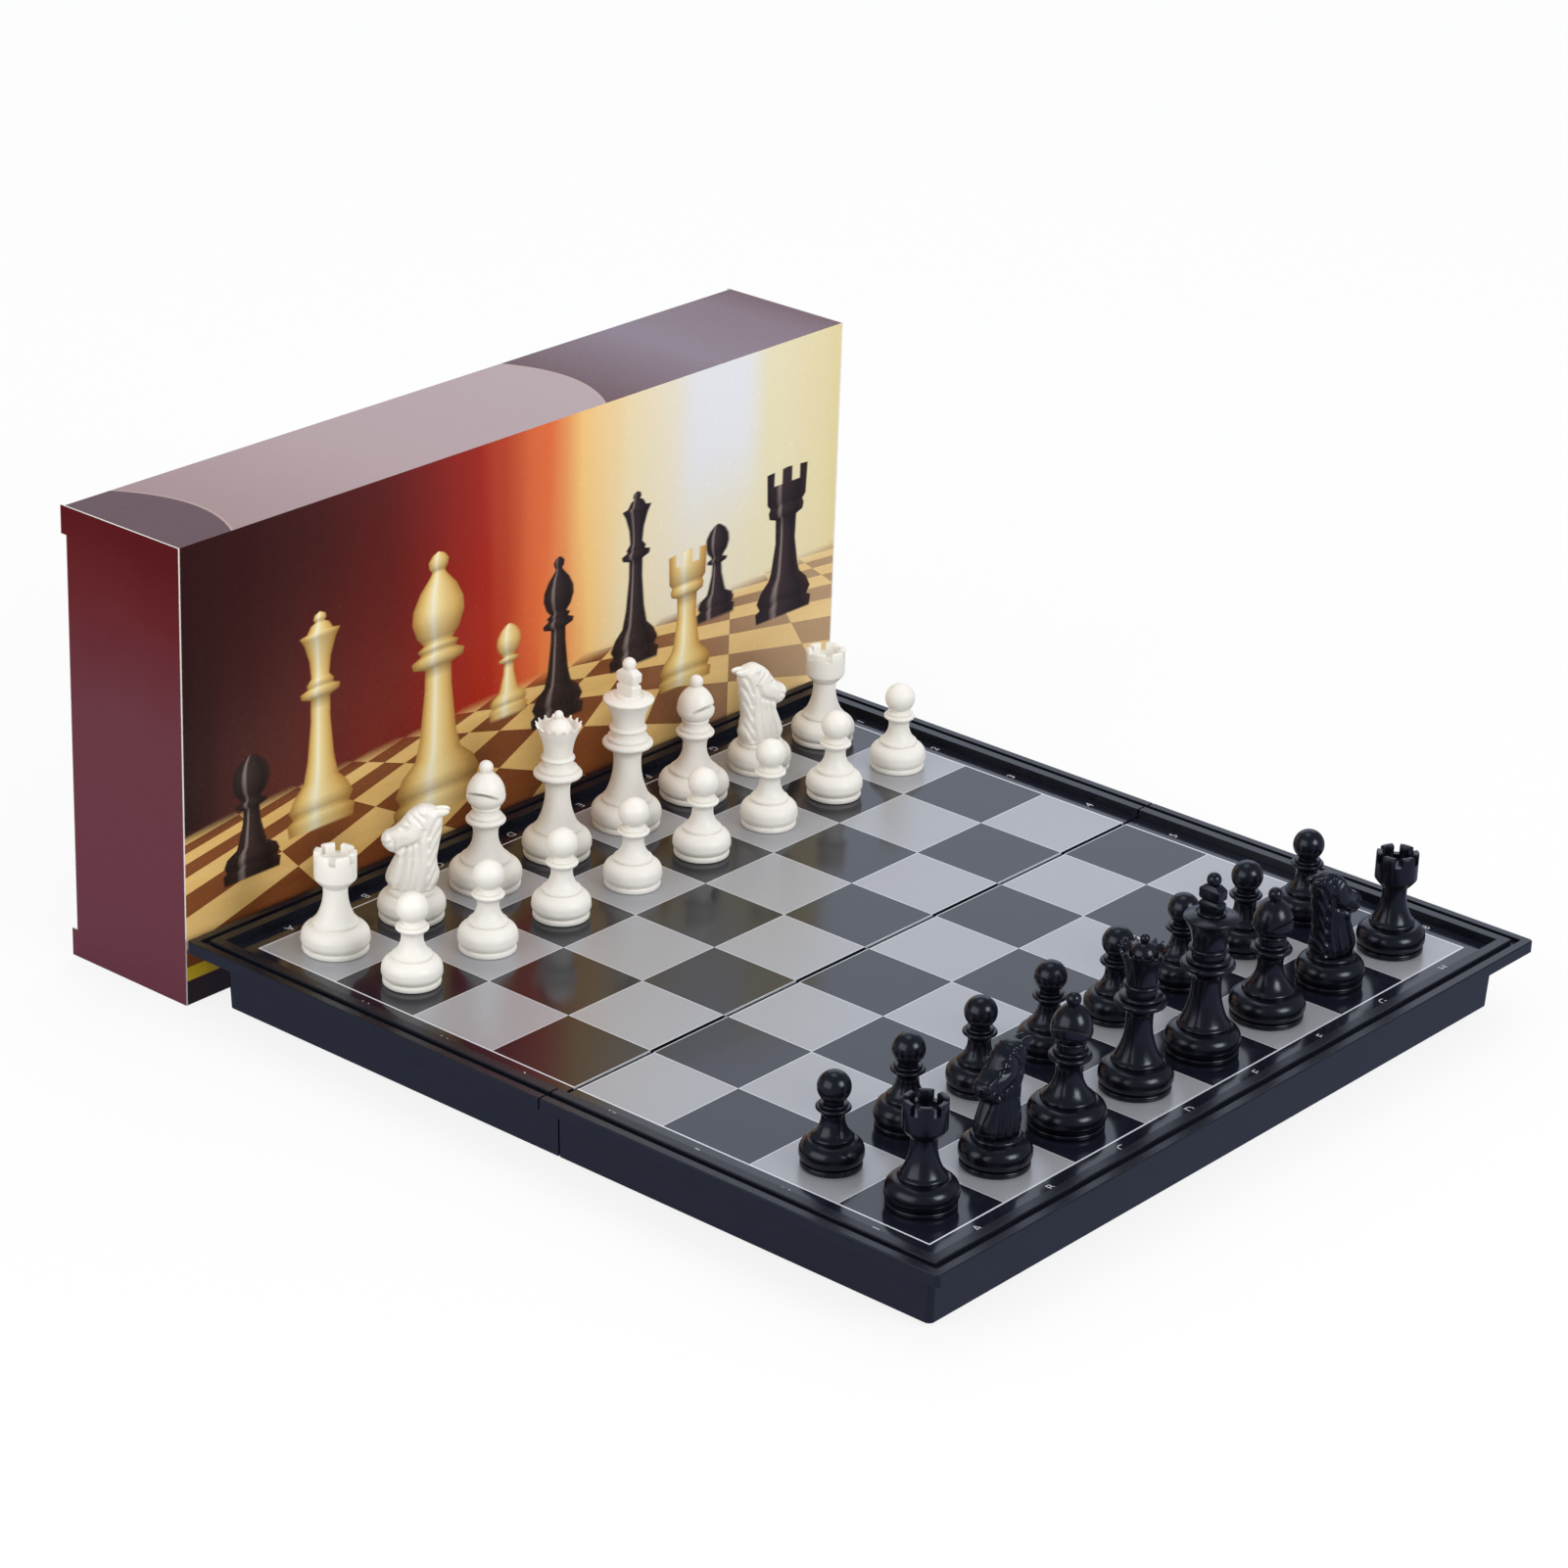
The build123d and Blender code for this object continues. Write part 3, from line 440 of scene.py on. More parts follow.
def carton_sleeve_board():
    """The sleeve: a picture face, a top with a paler panel and a painted sheen, plain maroon behind and below,
    raw board inside.
    """
    finish = Finish("carton_sleeve_board", Specular_IOR_Level=0.20)
    x, y, z = finish.place()
    nx, ny, nz = finish.facing()
    along = (y - CARTON_LOW.y) / CARTON_LONG
    # Top: maroon with a painted greyish sheen towards the far end, and a paler panel whose two ends bow the
    # same way and have a fine light edge
    deep = (x - CARTON_LOW.x) / CARTON_DEEP
    bow = deep * (1.0 - deep) * PANEL_BOW
    from_start = y - (CARTON_LOW.y + PANEL_START) - deep * PANEL_START_LEAN - bow
    from_end = (CARTON_LOW.y + PANEL_END) - y - deep * PANEL_END_LEAN + bow
    inside = from_start.least(from_end)
    pale = finish.gradient(
        along, [(0.08, (0.310, 0.195, 0.190)), (0.30, (0.380, 0.265, 0.265)), (0.62, (0.400, 0.300, 0.305))]
    )
    # Plain maroon, with a painted greyish sheen (a painted reflection) from about two-thirds along towards the
    # far end
    maroon_and_painted_sheen = finish.gradient(
        along, [(0.0, (0.070, 0.010, 0.012)), (0.62, (0.085, 0.012, 0.016)), (0.80, (0.190, 0.130, 0.165)),
                (0.94, (0.165, 0.095, 0.120)), (1.0, (0.110, 0.035, 0.045))]
    )
    top = finish.mix(inside.ramp(-0.3, 0.3), maroon_and_painted_sheen, pale)
    top = finish.mix(inside.band(0.0, 0.35, 0.25) * 0.6, top, (0.560, 0.400, 0.340))
    colour = finish.mix(nz.ramp(0.60, 0.75), maroon_print(finish, z), top)
    colour = finish.mix(nx.ramp(0.60, 0.75), colour, carton_picture(finish, y, z))
    # Raw board inside, at the cut ends, and worn through along the creases
    outward = ((x - CARTON_MIDDLE.x) * nx).most((z - CARTON_MIDDLE.z) * nz)
    cut_end = abs(ny).ramp(0.7, 0.9)
    scuff = finish.noise(160.0, 4.0).ramp(0.52, 0.66)
    crease = (1.0 - (abs(nx).most(abs(nz))).ramp(0.86, 0.97)) * scuff
    raw = (1.0 - outward.ramp(*OUTWARD)).most(cut_end).most(crease * 0.7)
    varnished(finish, finish.mix(raw, colour, RAW_BOARD))
    return finish.material


def deselect():
    if bpy.context.object and bpy.context.object.mode != "OBJECT":
        bpy.ops.object.mode_set(mode="OBJECT")
    bpy.ops.object.select_all(action="DESELECT")


def choose(piece):
    deselect()
    piece.select_set(True)
    bpy.context.view_layer.objects.active = piece


def edit(piece, everything=True):
    choose(piece)
    bpy.ops.object.mode_set(mode="EDIT")
    bpy.ops.mesh.select_mode(type="FACE")
    bpy.ops.mesh.select_all(action="SELECT" if everything else "DESELECT")


def leave_edit():
    bpy.ops.object.mode_set(mode="OBJECT")


def pick_faces(piece, test):
    """Selects the faces that pass a test on their middle and normal."""
    bpy.ops.object.mode_set(mode="OBJECT")
    for face in piece.data.polygons:
        face.select = bool(test(face.center, face.normal))
    bpy.ops.object.mode_set(mode="EDIT")


def draw_out(rise, scale=(1, 1, 1), about=(0, 0, 0)):
    """Extrudes the selected faces upwards and scales them about a point."""
    bpy.ops.mesh.extrude_region_move(TRANSFORM_OT_translate={"value": (0, 0, rise)})
    bpy.ops.transform.resize(value=scale, center_override=about)


def apply_modifiers(piece):
    choose(piece)
    for modifier in list(piece.modifiers):
        bpy.ops.object.modifier_apply(modifier=modifier.name)


def settle(piece):
    """Brings the object to the origin, with its place in its mesh."""
    choose(piece)
    bpy.ops.object.transform_apply(location=True, rotation=True, scale=True)


def mend_normals(piece):
    edit(piece)
    bpy.ops.mesh.remove_doubles(threshold=0.0005)
    bpy.ops.mesh.normals_make_consistent(inside=False)
    leave_edit()


def join(first, *others):
    choose(first)
    for piece in others:
        piece.select_set(True)
    bpy.ops.object.join()
    return first


def cut_away(piece, cutter):
    """Cuts one shape out of another and removes the cutter."""
    cut = piece.modifiers.new("cut", "BOOLEAN")
    cut.operation = "DIFFERENCE"
    cut.object = cutter
    cut.solver = "EXACT"
    apply_modifiers(piece)
    bpy.data.objects.remove(cutter)


def even_mesh(piece, size):
    """Adds a modifier that rebuilds a shape as a fine even mesh."""
    even = piece.modifiers.new("even", "REMESH")
    even.mode = "VOXEL"
    even.voxel_size = size


def give(piece, material):
    piece.data.materials.clear()
    piece.data.materials.append(material)


class Outline:
    """Half of a turned piece's outline, from the foot up: radius and height in millimetres."""

    def __init__(self, radius, height):
        self.points = [(radius, height)]

    def line(self, radius, height):
        self.points.append((radius, height))
        return self

    def bulge(self, radius, height, swell, steps=6):
        """An arc to the given point that swells outwards, or inwards where swell is negative."""
        r0, z0 = self.points[-1]
        chord = math.hypot(radius - r0, height - z0)
        along_r, along_z = (radius - r0) / chord, (height - z0) / chord
        bend = (chord * chord / 4 + swell * swell) / (2 * abs(swell))
        half_turn = math.asin(min(1.0, chord / 2 / bend))
        if abs(swell) > chord / 2:
            half_turn = math.pi - half_turn
        for n in range(1, steps):
            angle = half_turn * (2 * n / steps - 1)
            reach = bend * math.sin(angle)
            rise = math.copysign(bend * (math.cos(angle) - math.cos(half_turn)), swell)
            self.line(
                (r0 + radius) / 2 + along_r * reach + along_z * rise,
                (z0 + height) / 2 + along_z * reach - along_r * rise,
            )
        return self.line(radius, height)

    def ball(self, radius, centre, steps=12):
        """A ball that closes the outline at its top."""
        r0, z0 = self.points[-1]
        start = math.atan2(z0 - centre, r0)
        for n in range(1, steps + 1):
            angle = start + (math.pi / 2 - start) * n / steps
            self.line(max(radius * math.cos(angle), 0.05), centre + radius * math.sin(angle))
        return self

    def collar(self, radius, height, neck):
        """A flare up to a rounded ring, a smaller ring on top, then the neck."""
        r0, z0 = self.points[-1]
        ring = radius - height * 0.085
        self.bulge(ring, z0 + height * 0.44, -(ring - r0) * 0.15, 7)
        self.bulge(ring, z0 + height * 0.71, height * 0.085, 7)
        self.line(ring * 0.83, z0 + height * 0.745)
        self.bulge(ring * 0.83, z0 + height * 0.95, height * 0.065, 5)
        return self.line(neck, z0 + height)


def foot(base, bead):
    """The foot of every man: a disc, a groove, a dome and a bead."""
    outline = Outline(base - 0.95, 0.0)
    outline.bulge(base - 0.45, 0.5, 0.12, 3).line(base - 0.45, 1.4).bulge(base - 0.95, 1.9, 0.12, 3)
    outline.line(base - 1.25, 1.92).line(base - 1.25, 2.18).line(base - 0.95, 2.2)
    outline.bulge(base, 5.0, 0.40, 7).bulge(bead + 0.3, 9.2, (base - bead) * 0.27, 12)
    outline.line(bead, 9.35).bulge(bead - 0.3, 10.8, 0.34, 6)
    return outline.line(bead - 0.6, 10.95)


# Sides of a turned piece, and of the bishop, queen and king, which have more
PLAIN_TURN = 72
FINE_TURN = 96


def turn(name, outline, steps=PLAIN_TURN):
    """Turns an outline: a disc of its first radius, drawn up ring by ring and closed at the top."""
    deselect()
    (r0, z0), *rest = outline.points
    bpy.ops.mesh.primitive_circle_add(vertices=steps, radius=r0, fill_type="NGON", location=(0, 0, z0))
    piece = bpy.context.object
    piece.name = piece.data.name = name
    settle(piece)
    edit(piece)
    for radius, height in rest:
        draw_out(height - z0, (radius / r0, radius / r0, 1), (0, 0, height))
        r0, z0 = radius, height
    if r0 < 0.8:
        bpy.ops.mesh.merge(type="CENTER")
    leave_edit()
    mend_normals(piece)
    return piece


def bar(size, tilt, place):
    """A block, tilted about Y and put in its place."""
    deselect()
    bpy.ops.mesh.primitive_cube_add(size=1.0)
    block = bpy.context.object
    edit(block)
    bpy.ops.transform.resize(value=size, center_override=(0, 0, 0))
    bpy.ops.transform.rotate(value=math.radians(tilt), orient_axis="Y", center_override=(0, 0, 0))
    bpy.ops.transform.translate(value=place)
    leave_edit()
    return block


def make_pawn():
    outline = foot(base=10.15, bead=6.65).bulge(3.7, 17.3, -0.75, 10).collar(radius=5.6, height=4.4, neck=3.15)
    return turn("pawn", outline.line(3.15, 22.38).ball(radius=5.35, centre=26.7, steps=18))


def make_rook():
    crown, well, rim = 7.15, 5.1, 32.3
    outline = foot(base=11.6, bead=7.6).bulge(4.2, 22.8, -1.0, 12)
    outline.bulge(6.9, 25.8, 0.12, 4).bulge(crown, 26.3, 0.06, 3)
    outline.line(crown, rim).line(well, rim).line(5.05, 31.0).line(0.4, 30.9)
    piece = turn("rook", outline)
    merlon_turn = 360.0 / 6
    half_slot_turn = 10.0

    # Six merlons rise from the rim, two-thirds of its round, with slots between them
    def on_merlon(middle, normal):
        radius = math.hypot(middle.x, middle.y)
        turned = math.degrees(math.atan2(middle.y, middle.x)) % merlon_turn
        on_rim = 5.2 < radius < crown and abs(middle.z - rim) < 0.02 and normal.z > 0.9
        return on_rim and half_slot_turn < turned < merlon_turn - half_slot_turn

    edit(piece, everything=False)
    pick_faces(piece, on_merlon)
    draw_out(2.85)
    bpy.ops.mesh.inset(thickness=0.16, depth=0.24)
    bpy.ops.mesh.inset(thickness=0.22, depth=0.11)
    leave_edit()
    return piece


def make_bishop():
    outline = foot(base=12.6, bead=8.6).bulge(4.4, 20.9, -1.35, 12).collar(radius=6.9, height=5.9, neck=4.5)
    outline.line(4.5, 28.4).bulge(4.5, 29.6, 0.45, 5).bulge(6.6, 34.1, 0.9, 9).bulge(1.72, 41.7, 1.2, 14)
    piece = turn("bishop", outline.ball(radius=2.45, centre=43.4), FINE_TURN)
    cut_away(piece, bar(size=(9.2, 26.0, 0.95), tilt=35, place=(6.6, 0, 35.9)))
    return piece


def make_queen():
    points = 16
    outline = foot(base=12.1, bead=8.2).bulge(4.45, 26.3, -1.2, 14).collar(radius=8.5, height=7.1, neck=5.0)
    outline.line(5.0, 35.4).bulge(5.0, 37.0, 0.9, 7).bulge(7.0, 45.8, -0.5, 8).bulge(8.2, 48.9, -0.15, 4)
    outline.line(7.75, 48.95).line(5.8, 46.3).line(4.7, 46.3).bulge(1.12, 50.8, 0.9, 9)
    piece = turn("queen", outline.ball(radius=1.6, centre=51.9, steps=10), FINE_TURN)
    # Rounded notches leave as many points on the crown's rim
    deselect()
    bpy.ops.mesh.primitive_cylinder_add(vertices=24, radius=1.30, depth=6.2)
    notch = bpy.context.object
    edit(notch)
    bpy.ops.transform.rotate(value=math.radians(90), orient_axis="Y", center_override=(0, 0, 0))
    bpy.ops.transform.translate(value=(8.4, 0, 49.0))
    leave_edit()
    others = []
    for n in range(1, points):
        other = notch.copy()
        other.data = notch.data.copy()
        other.data.transform(Matrix.Rotation(math.radians(n * 360 / points), 4, "Z"))
        bpy.context.scene.collection.objects.link(other)
        others.append(other)
    cut_away(piece, join(notch, *others))
    return piece


def make_cross():
    """The king's cross, drawn up through its levels, with a turned knob on top."""
    # Height, width and thickness
    levels = [
        (48.2, 6.2, 4.0), (51.6, 7.8, 4.6), (52.6, 7.8, 4.6), (53.3, 5.8, 3.6),
        (54.1, 8.0, 4.6), (57.2, 8.2, 4.6), (58.8, 4.2, 3.2),
    ]
    deselect()
    (z0, width0, depth0), *rest = levels
    bpy.ops.mesh.primitive_plane_add(size=1.0, location=(0, 0, z0))
    cross = bpy.context.object
    settle(cross)
    edit(cross)
    bpy.ops.transform.resize(value=(width0, depth0, 1), center_override=(0, 0, z0))
    for z, width, depth in rest:
        draw_out(z - z0, (width / width0, depth / depth0, 1), (0, 0, z))
        z0, width0, depth0 = z, width, depth
    leave_edit()
    mend_normals(cross)
    soften = cross.modifiers.new("soften", "BEVEL")
    soften.width = 0.32
    soften.segments = 3
    soften.limit_method = "ANGLE"
    soften.angle_limit = math.radians(18)
    apply_modifiers(cross)
    knob = Outline(1.2, 58.2).line(1.55, 58.57).ball(radius=2.4, centre=60.4, steps=14)
    return join(cross, turn("knob", knob, 48))


def make_king():
    outline = foot(base=12.4, bead=8.6).bulge(5.0, 26.8, -1.15, 14).collar(radius=8.9, height=7.4, neck=5.6)
    outline.line(5.6, 35.9).bulge(5.6, 37.5, 1.0, 7).bulge(8.85, 47.0, -0.85, 10).bulge(8.65, 47.9, 0.2, 5)
    outline.line(5.5, 48.8).line(4.45, 48.35).line(4.4, 48.9).bulge(3.95, 49.25, 0.15, 4)
    return join(turn("king", outline.line(0.4, 49.3), FINE_TURN), make_cross())


def smooth_path(points, steps, closed=True):
    """Points along a smooth curve through the given ones."""
    count = len(points)
    path = []
    for n in range(count if closed else count - 1):
        picked = [n - 1, n, n + 1, n + 2]
        picked = [k % count for k in picked] if closed else [min(max(k, 0), count - 1) for k in picked]
        p0, p1, p2, p3 = (np.array(points[k], float) for k in picked)
        for t in np.arange(steps) / steps:
            path.append(
                0.5 * (2 * p1 + (p2 - p0) * t + (2 * p0 - 5 * p1 + 4 * p2 - p3) * t**2
                       + (3 * p1 - p0 - 3 * p2 + p3) * t**3)
            )
    return np.array(path if closed else path + [np.array(points[-1], float)])


def distance_to_path(points, path, closed):
    """The distance from each point to a line drawn through a path."""
    starts = path if closed else path[:-1]
    ends = np.roll(path, -1, axis=0) if closed else path[1:]
    best = np.full(len(points), 1e9)
    for a, b in zip(starts, ends):
        along = b - a
        length = max(float(along @ along), 1e-9)
        t = np.clip(((points - a) @ along) / length, 0, 1)
        best = np.minimum(best, np.hypot(*(points - (a + t[:, None] * along)).T))
    return best


def hill(points, centre, reach, lean=0.0):
    """A rounded hill over an oval: 1 at its middle, fading to 0 outside; lean turns the oval."""
    forward, up = (points - centre).T
    c, s = math.cos(math.radians(lean)), math.sin(math.radians(lean))
    return np.exp(-(((forward * c + up * s) / reach[0]) ** 2 + ((up * c - forward * s) / reach[1]) ** 2))


KNIGHT_SIDE = [
    (6.4, 10.2), (7.4, 11.2), (8.4, 12.6), (8.8, 14.2), (8.4, 16.2), (7.5, 18.2), (6.4, 20.5),
    (5.3, 22.9), (6.5, 23.5), (7.8, 24.1), (9.0, 25.0), (9.8, 26.2), (10.2, 27.4), (10.2, 28.6),
    (9.7, 29.7), (8.8, 30.6), (7.4, 31.3), (6.0, 32.2), (4.8, 33.3), (3.7, 34.6), (2.7, 36.0),
    (1.8, 37.3), (0.7, 38.5), (-0.7, 39.6), (-2.4, 40.6), (-4.2, 40.9), (-6.0, 40.7), (-7.6, 40.1),
    (-9.0, 39.0), (-9.9, 37.5), (-10.2, 35.9), (-10.2, 34.0), (-9.9, 31.0), (-9.4, 28.0), (-8.8, 24.6),
    (-8.4, 21.5), (-8.7, 19.0), (-9.3, 16.8), (-9.1, 14.6), (-8.0, 12.0), (-6.7, 10.2),
]

# Lines carved in the side of the head and neck: width, depth and the points they run through
KNIGHT_CARVING = [
    (0.80, 1.20, [(5.6, 24.0), (3.6, 25.6), (1.2, 26.9), (-1.4, 28.1), (-3.4, 30.2), (-4.2, 33.0)]),
    (0.70, 0.60, [
        (-4.8, 40.4), (-5.0, 36.0), (-5.4, 31.0), (-5.8, 26.0), (-5.9, 21.0), (-5.6, 16.0), (-5.2, 10.4),
    ]),
    (1.05, 1.55, [(1.8, 26.0), (2.2, 21.4), (3.2, 16.4), (4.6, 11.0)]),
    (0.80, 1.00, [(-0.4, 26.6), (-0.2, 20.6), (0.8, 15.6), (2.0, 11.0)]),
    (0.80, 0.95, [(-2.6, 28.0), (-2.9, 20.6), (-2.4, 15.4), (-1.6, 11.0)]),
    (0.45, 0.75, [(10.7, 26.8), (9.4, 27.0), (8.0, 27.4), (6.9, 28.2)]),
    (1.20, 0.75, [(2.2, 33.4), (4.4, 31.9), (7.2, 30.2)]),
    (0.60, 0.45, [(5.9, 25.4), (5.5, 27.2), (6.0, 29.2)]),
    (0.50, 0.60, [(1.6, 39.0), (-0.2, 38.2), (-2.2, 36.6), (-4.0, 34.4)]),
    (0.50, 0.60, [(-0.6, 40.6), (-2.2, 39.4), (-4.4, 37.4)]),
    (0.45, 0.55, [(4.4, 35.9), (3.2, 36.6), (1.7, 36.4), (0.6, 35.4)]),
    (0.45, 0.55, [(4.0, 33.9), (2.6, 33.4), (1.0, 33.7)]),
] + [
    (0.70, 0.95, [(-10.8, top), (-9.3, top - 1.5), (-7.7, top - 4.3), (-6.2, top - 8.2)])
    for top in (38.8, 34.2, 29.8, 25.2, 20.8)
]

# Ovals of the head and neck as seen from above: height, middle, half length and half width
KNIGHT_OVALS = [
    (10.2, -0.2, 8.8, 6.2), (14.0, -0.2, 9.6, 6.2), (19.0, -0.7, 9.0, 5.2), (22.9, -1.2, 9.2, 4.6),
    (27.0, 0.1, 11.2, 4.7), (31.0, -0.3, 11.0, 4.8), (36.0, -2.9, 9.6, 4.4), (42.5, -3.8, 9.0, 3.6),
]


# Rounded swells and hollows of the head: height of the swell, its centre, its reach and its lean in degrees.
# First the cheek and the muzzle, which the lines are carved into
KNIGHT_FLESH = [
    (0.45, (0.0, 31.2), (3.2, 3.4), 0.0),
    (0.45, (8.0, 27.8), (1.8, 2.8), 0.0),
]
# Then the eye socket, the eye, the nostril's wing and the nostril
KNIGHT_FEATURES = [
    (-0.85, (2.6, 34.8), (1.70, 1.05), 30),
    (1.15, (2.5, 34.7), (0.85, 0.74), 0.0),
    (0.40, (8.9, 29.6), (1.5, 1.2), 0.0),
    (-0.95, (9.1, 29.7), (0.72, 0.48), 55),
]
KNIGHT_ROUNDING = 1.9        # how far in from its outline the head rounds over
KNIGHT_FACE_SHARPNESS = 0.8  # how much less it does so on the face
KNIGHT_FACE = ((6.0, 31.0), (6.0, 5.0))
KNIGHT_SLAB_HALF = 6.0       # half the slab's thickness that the head is drawn out to
KNIGHT_FIRST_MESH = 0.28     # size of the even mesh that is carved
KNIGHT_LAST_MESH = 0.24      # size of the even mesh of head and ears together
EAR_HALF_SIZE = (3.9, 1.15, 1.5)
EAR_LEAN = -11
EAR_X, EAR_SPREAD, EAR_Z = -8.9, 1.45, 38.7


def knight_half_width(points, path):
    """How far the head stands out to each side, at points of its side view."""
    forward, up = points.T
    heights, *oval = np.array(KNIGHT_OVALS).T
    middle, length, width = (np.interp(up, heights, sizes) for sizes in oval)
    width = width * np.sqrt(np.maximum(1 - ((forward - middle) / length) ** 2, 0.04))
    for swell, centre, reach, lean in KNIGHT_FLESH:
        width += swell * hill(points, centre, reach, lean)
    for cut, depth, line in KNIGHT_CARVING:
        away = distance_to_path(points, smooth_path(line, 4, closed=False), False)
        width -= depth * np.exp(-((away / cut) ** 2))
    for swell, centre, reach, lean in KNIGHT_FEATURES:
        width += swell * hill(points, centre, reach, lean)
    edge = distance_to_path(points, path, True)
    rounding = KNIGHT_ROUNDING - KNIGHT_FACE_SHARPNESS * hill(points, *KNIGHT_FACE)
    round_over = np.clip((edge + 0.10) / rounding, 0, 1)
    return np.maximum(width, 0.8) * np.sqrt(1 - (1 - round_over) ** 2)


def make_knight():
    path = smooth_path(KNIGHT_SIDE, 3)
    # The side view is drawn out to a slab, rebuilt as a fine even mesh, then carved
    half = KNIGHT_SLAB_HALF
    deselect()
    bpy.ops.mesh.primitive_circle_add(vertices=len(path), radius=5.0, fill_type="NGON")
    head = bpy.context.object
    head.name = head.data.name = "knight_head"
    for v, (forward, up) in zip(head.data.vertices, path):
        v.co = (forward, -half, up)
    edit(head)
    bpy.ops.mesh.extrude_region_move(TRANSFORM_OT_translate={"value": (0, 2 * half, 0)})
    leave_edit()
    mend_normals(head)
    even_mesh(head, KNIGHT_FIRST_MESH)
    apply_modifiers(head)
    where = np.zeros(len(head.data.vertices) * 3)
    head.data.vertices.foreach_get("co", where)
    where = where.reshape(-1, 3)
    where[:, 1] *= knight_half_width(where[:, [0, 2]], path) / half
    head.data.vertices.foreach_set("co", where.ravel())
    head.data.update()
    # Two ears laid back along the crest
    for side in (-1, 1):
        deselect()
        bpy.ops.mesh.primitive_uv_sphere_add(segments=32, ring_count=20, radius=1.0)
        ear = bpy.context.object
        edit(ear)
        bpy.ops.transform.resize(value=EAR_HALF_SIZE, center_override=(0, 0, 0))
        bpy.ops.transform.rotate(value=math.radians(EAR_LEAN), orient_axis="Y", center_override=(0, 0, 0))
        bpy.ops.transform.translate(value=(EAR_X, side * EAR_SPREAD, EAR_Z))
        leave_edit()
        join(head, ear)
    even_mesh(head, KNIGHT_LAST_MESH)
    soften = head.modifiers.new("soften", "SMOOTH")
    soften.factor = 0.5
    soften.iterations = 3
    apply_modifiers(head)
    return join(turn("knight", foot(base=11.55, bead=8.1).line(6.9, 11.0).line(0.4, 11.05)), head)


# The men on their squares
BACK_RANK = ("rook_1", "knight_1", "bishop_1", "queen", "king", "bishop_2", "knight_2", "rook_2")
MODELS = {
    "pawn": make_pawn(), "rook": make_rook(), "knight": make_knight(),
    "bishop": make_bishop(), "queen": make_queen(), "king": make_king(),
}
# Which way the men that aren't round all over are turned, in degrees from +X towards +Y
TURNED = {
    "white_knight_1": -141.0, "white_knight_2": 78.0, "black_knight_1": -92.0, "black_knight_2": 78.0,
    "white_bishop_1": -66.0, "black_bishop_1": -66.0,
    "white_rook_1": 6.0, "white_rook_2": 20.0, "black_rook_1": -21.0, "black_rook_2": 8.0,
}
SMOOTH_BELOW = 38            # degrees between faces that still shade as one
for model in MODELS.values():
    choose(model)
    bpy.ops.object.shade_smooth_by_angle(angle=math.radians(SMOOTH_BELOW))


def stand(name, form, x, y):
    """Stands a copy of a model on its square, in place of the plain solid."""
    piece = MODELS[form].copy()
    piece.data = MODELS[form].data.copy()
    piece.name = piece.data.name = name + "_model"
    bpy.context.scene.collection.objects.link(piece)
    place = Matrix.Translation(Vector((x, y, PLAY_Z)) * MM)
    turned = Matrix.Rotation(math.radians(TURNED.get(name, 0.0)), 4, "Z")
    piece.data.transform(place @ turned @ Matrix.Scale(MM, 4))
    piece.data.update()
    pale = name.startswith("white")
    give(piece, ivory if pale else black)
    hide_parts(name)
    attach(piece, name)


for colour, side in (("white", -1), ("black", 1)):
    for row in range(8):
        y = (row + 0.5) * SQUARE - HALF_FIELD
        kind = BACK_RANK[row]
        stand(f"{colour}_{kind}", kind.split("_")[0], side * (FIELD_INSET + 3.5 * SQUARE), y)
        stand(f"{colour}_pawn_{row + 1}", "pawn", side * (FIELD_INSET + 2.5 * SQUARE), y)
for model in MODELS.values():
    bpy.data.objects.remove(model)

# Board and carton finishes
for node, material in (
    ("tray_white_side", tray_plastic), ("tray_black_side", tray_plastic),
    ("play_plate_white_side", printed_steel("printed_steel_white_side", True)),
    ("play_plate_black_side", printed_steel("printed_steel_black_side", False)),
    ("hinge_pins", pin_steel()), ("carton_sleeve", carton_sleeve_board()),
):
    give(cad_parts[node], material)
end_board = carton_end_board()
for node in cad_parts:
    if node.startswith(("carton_lid", "carton_dust")):
        give(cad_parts[node], end_board)

print_white = Finish("coordinate_print", Base_Color=(0.55, 0.56, 0.60), Roughness=0.4).material


COORDINATE_SIZE = 4.6
COORDINATE_HALF_THICKNESS = 0.012
COORDINATE_FROM_FIELD = 4.2


def coordinate(character, x, y, facing_degrees, body, name):
    """One character of the border's coordinates, as a thin print on the plate."""
    deselect()
    bpy.ops.object.text_add(location=(0, 0, 0))
    text = bpy.context.object
    text.data.body = character
    text.data.size = COORDINATE_SIZE
    text.data.align_x = "CENTER"
    text.data.align_y = "CENTER"
    text.data.extrude = COORDINATE_HALF_THICKNESS
    text.data.resolution_u = 3
    bpy.ops.object.convert(target="MESH")
    piece = bpy.context.object
    piece.name = piece.data.name = f"coordinate_{name}"
    turned = Matrix.Rotation(math.radians(facing_degrees), 4, "Z")
    place = Matrix.Translation(Vector((x, y, PLAY_Z + COORDINATE_HALF_THICKNESS)) * MM)
    piece.data.transform(place @ turned @ Matrix.Scale(MM, 4))
    give(piece, print_white)
    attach(piece, body)


border = HALF_FIELD + COORDINATE_FROM_FIELD
for row in range(8):
    along = (row + 0.5) * SQUARE - HALF_FIELD
    coordinate("ABCDEFGH"[row], -(border + FIELD_INSET), along, -90.0, "half_white", f"letter_white_{row + 1}")
    coordinate("ABCDEFGH"[row], border + FIELD_INSET, along, 90.0, "half_black", f"letter_black_{row + 1}")
    out = (row - 3.5) * SQUARE
    out += math.copysign(FIELD_INSET, out)
    body = "half_white" if out < 0 else "half_black"
    coordinate("12345678"[row], out, -border, -90.0, body, f"number_near_{row + 1}")
    coordinate("12345678"[row], out, border, 90.0, body, f"number_far_{row + 1}")

# Floor: white to the camera and dim and cool in reflections, but it keeps the object's shadow
deselect()
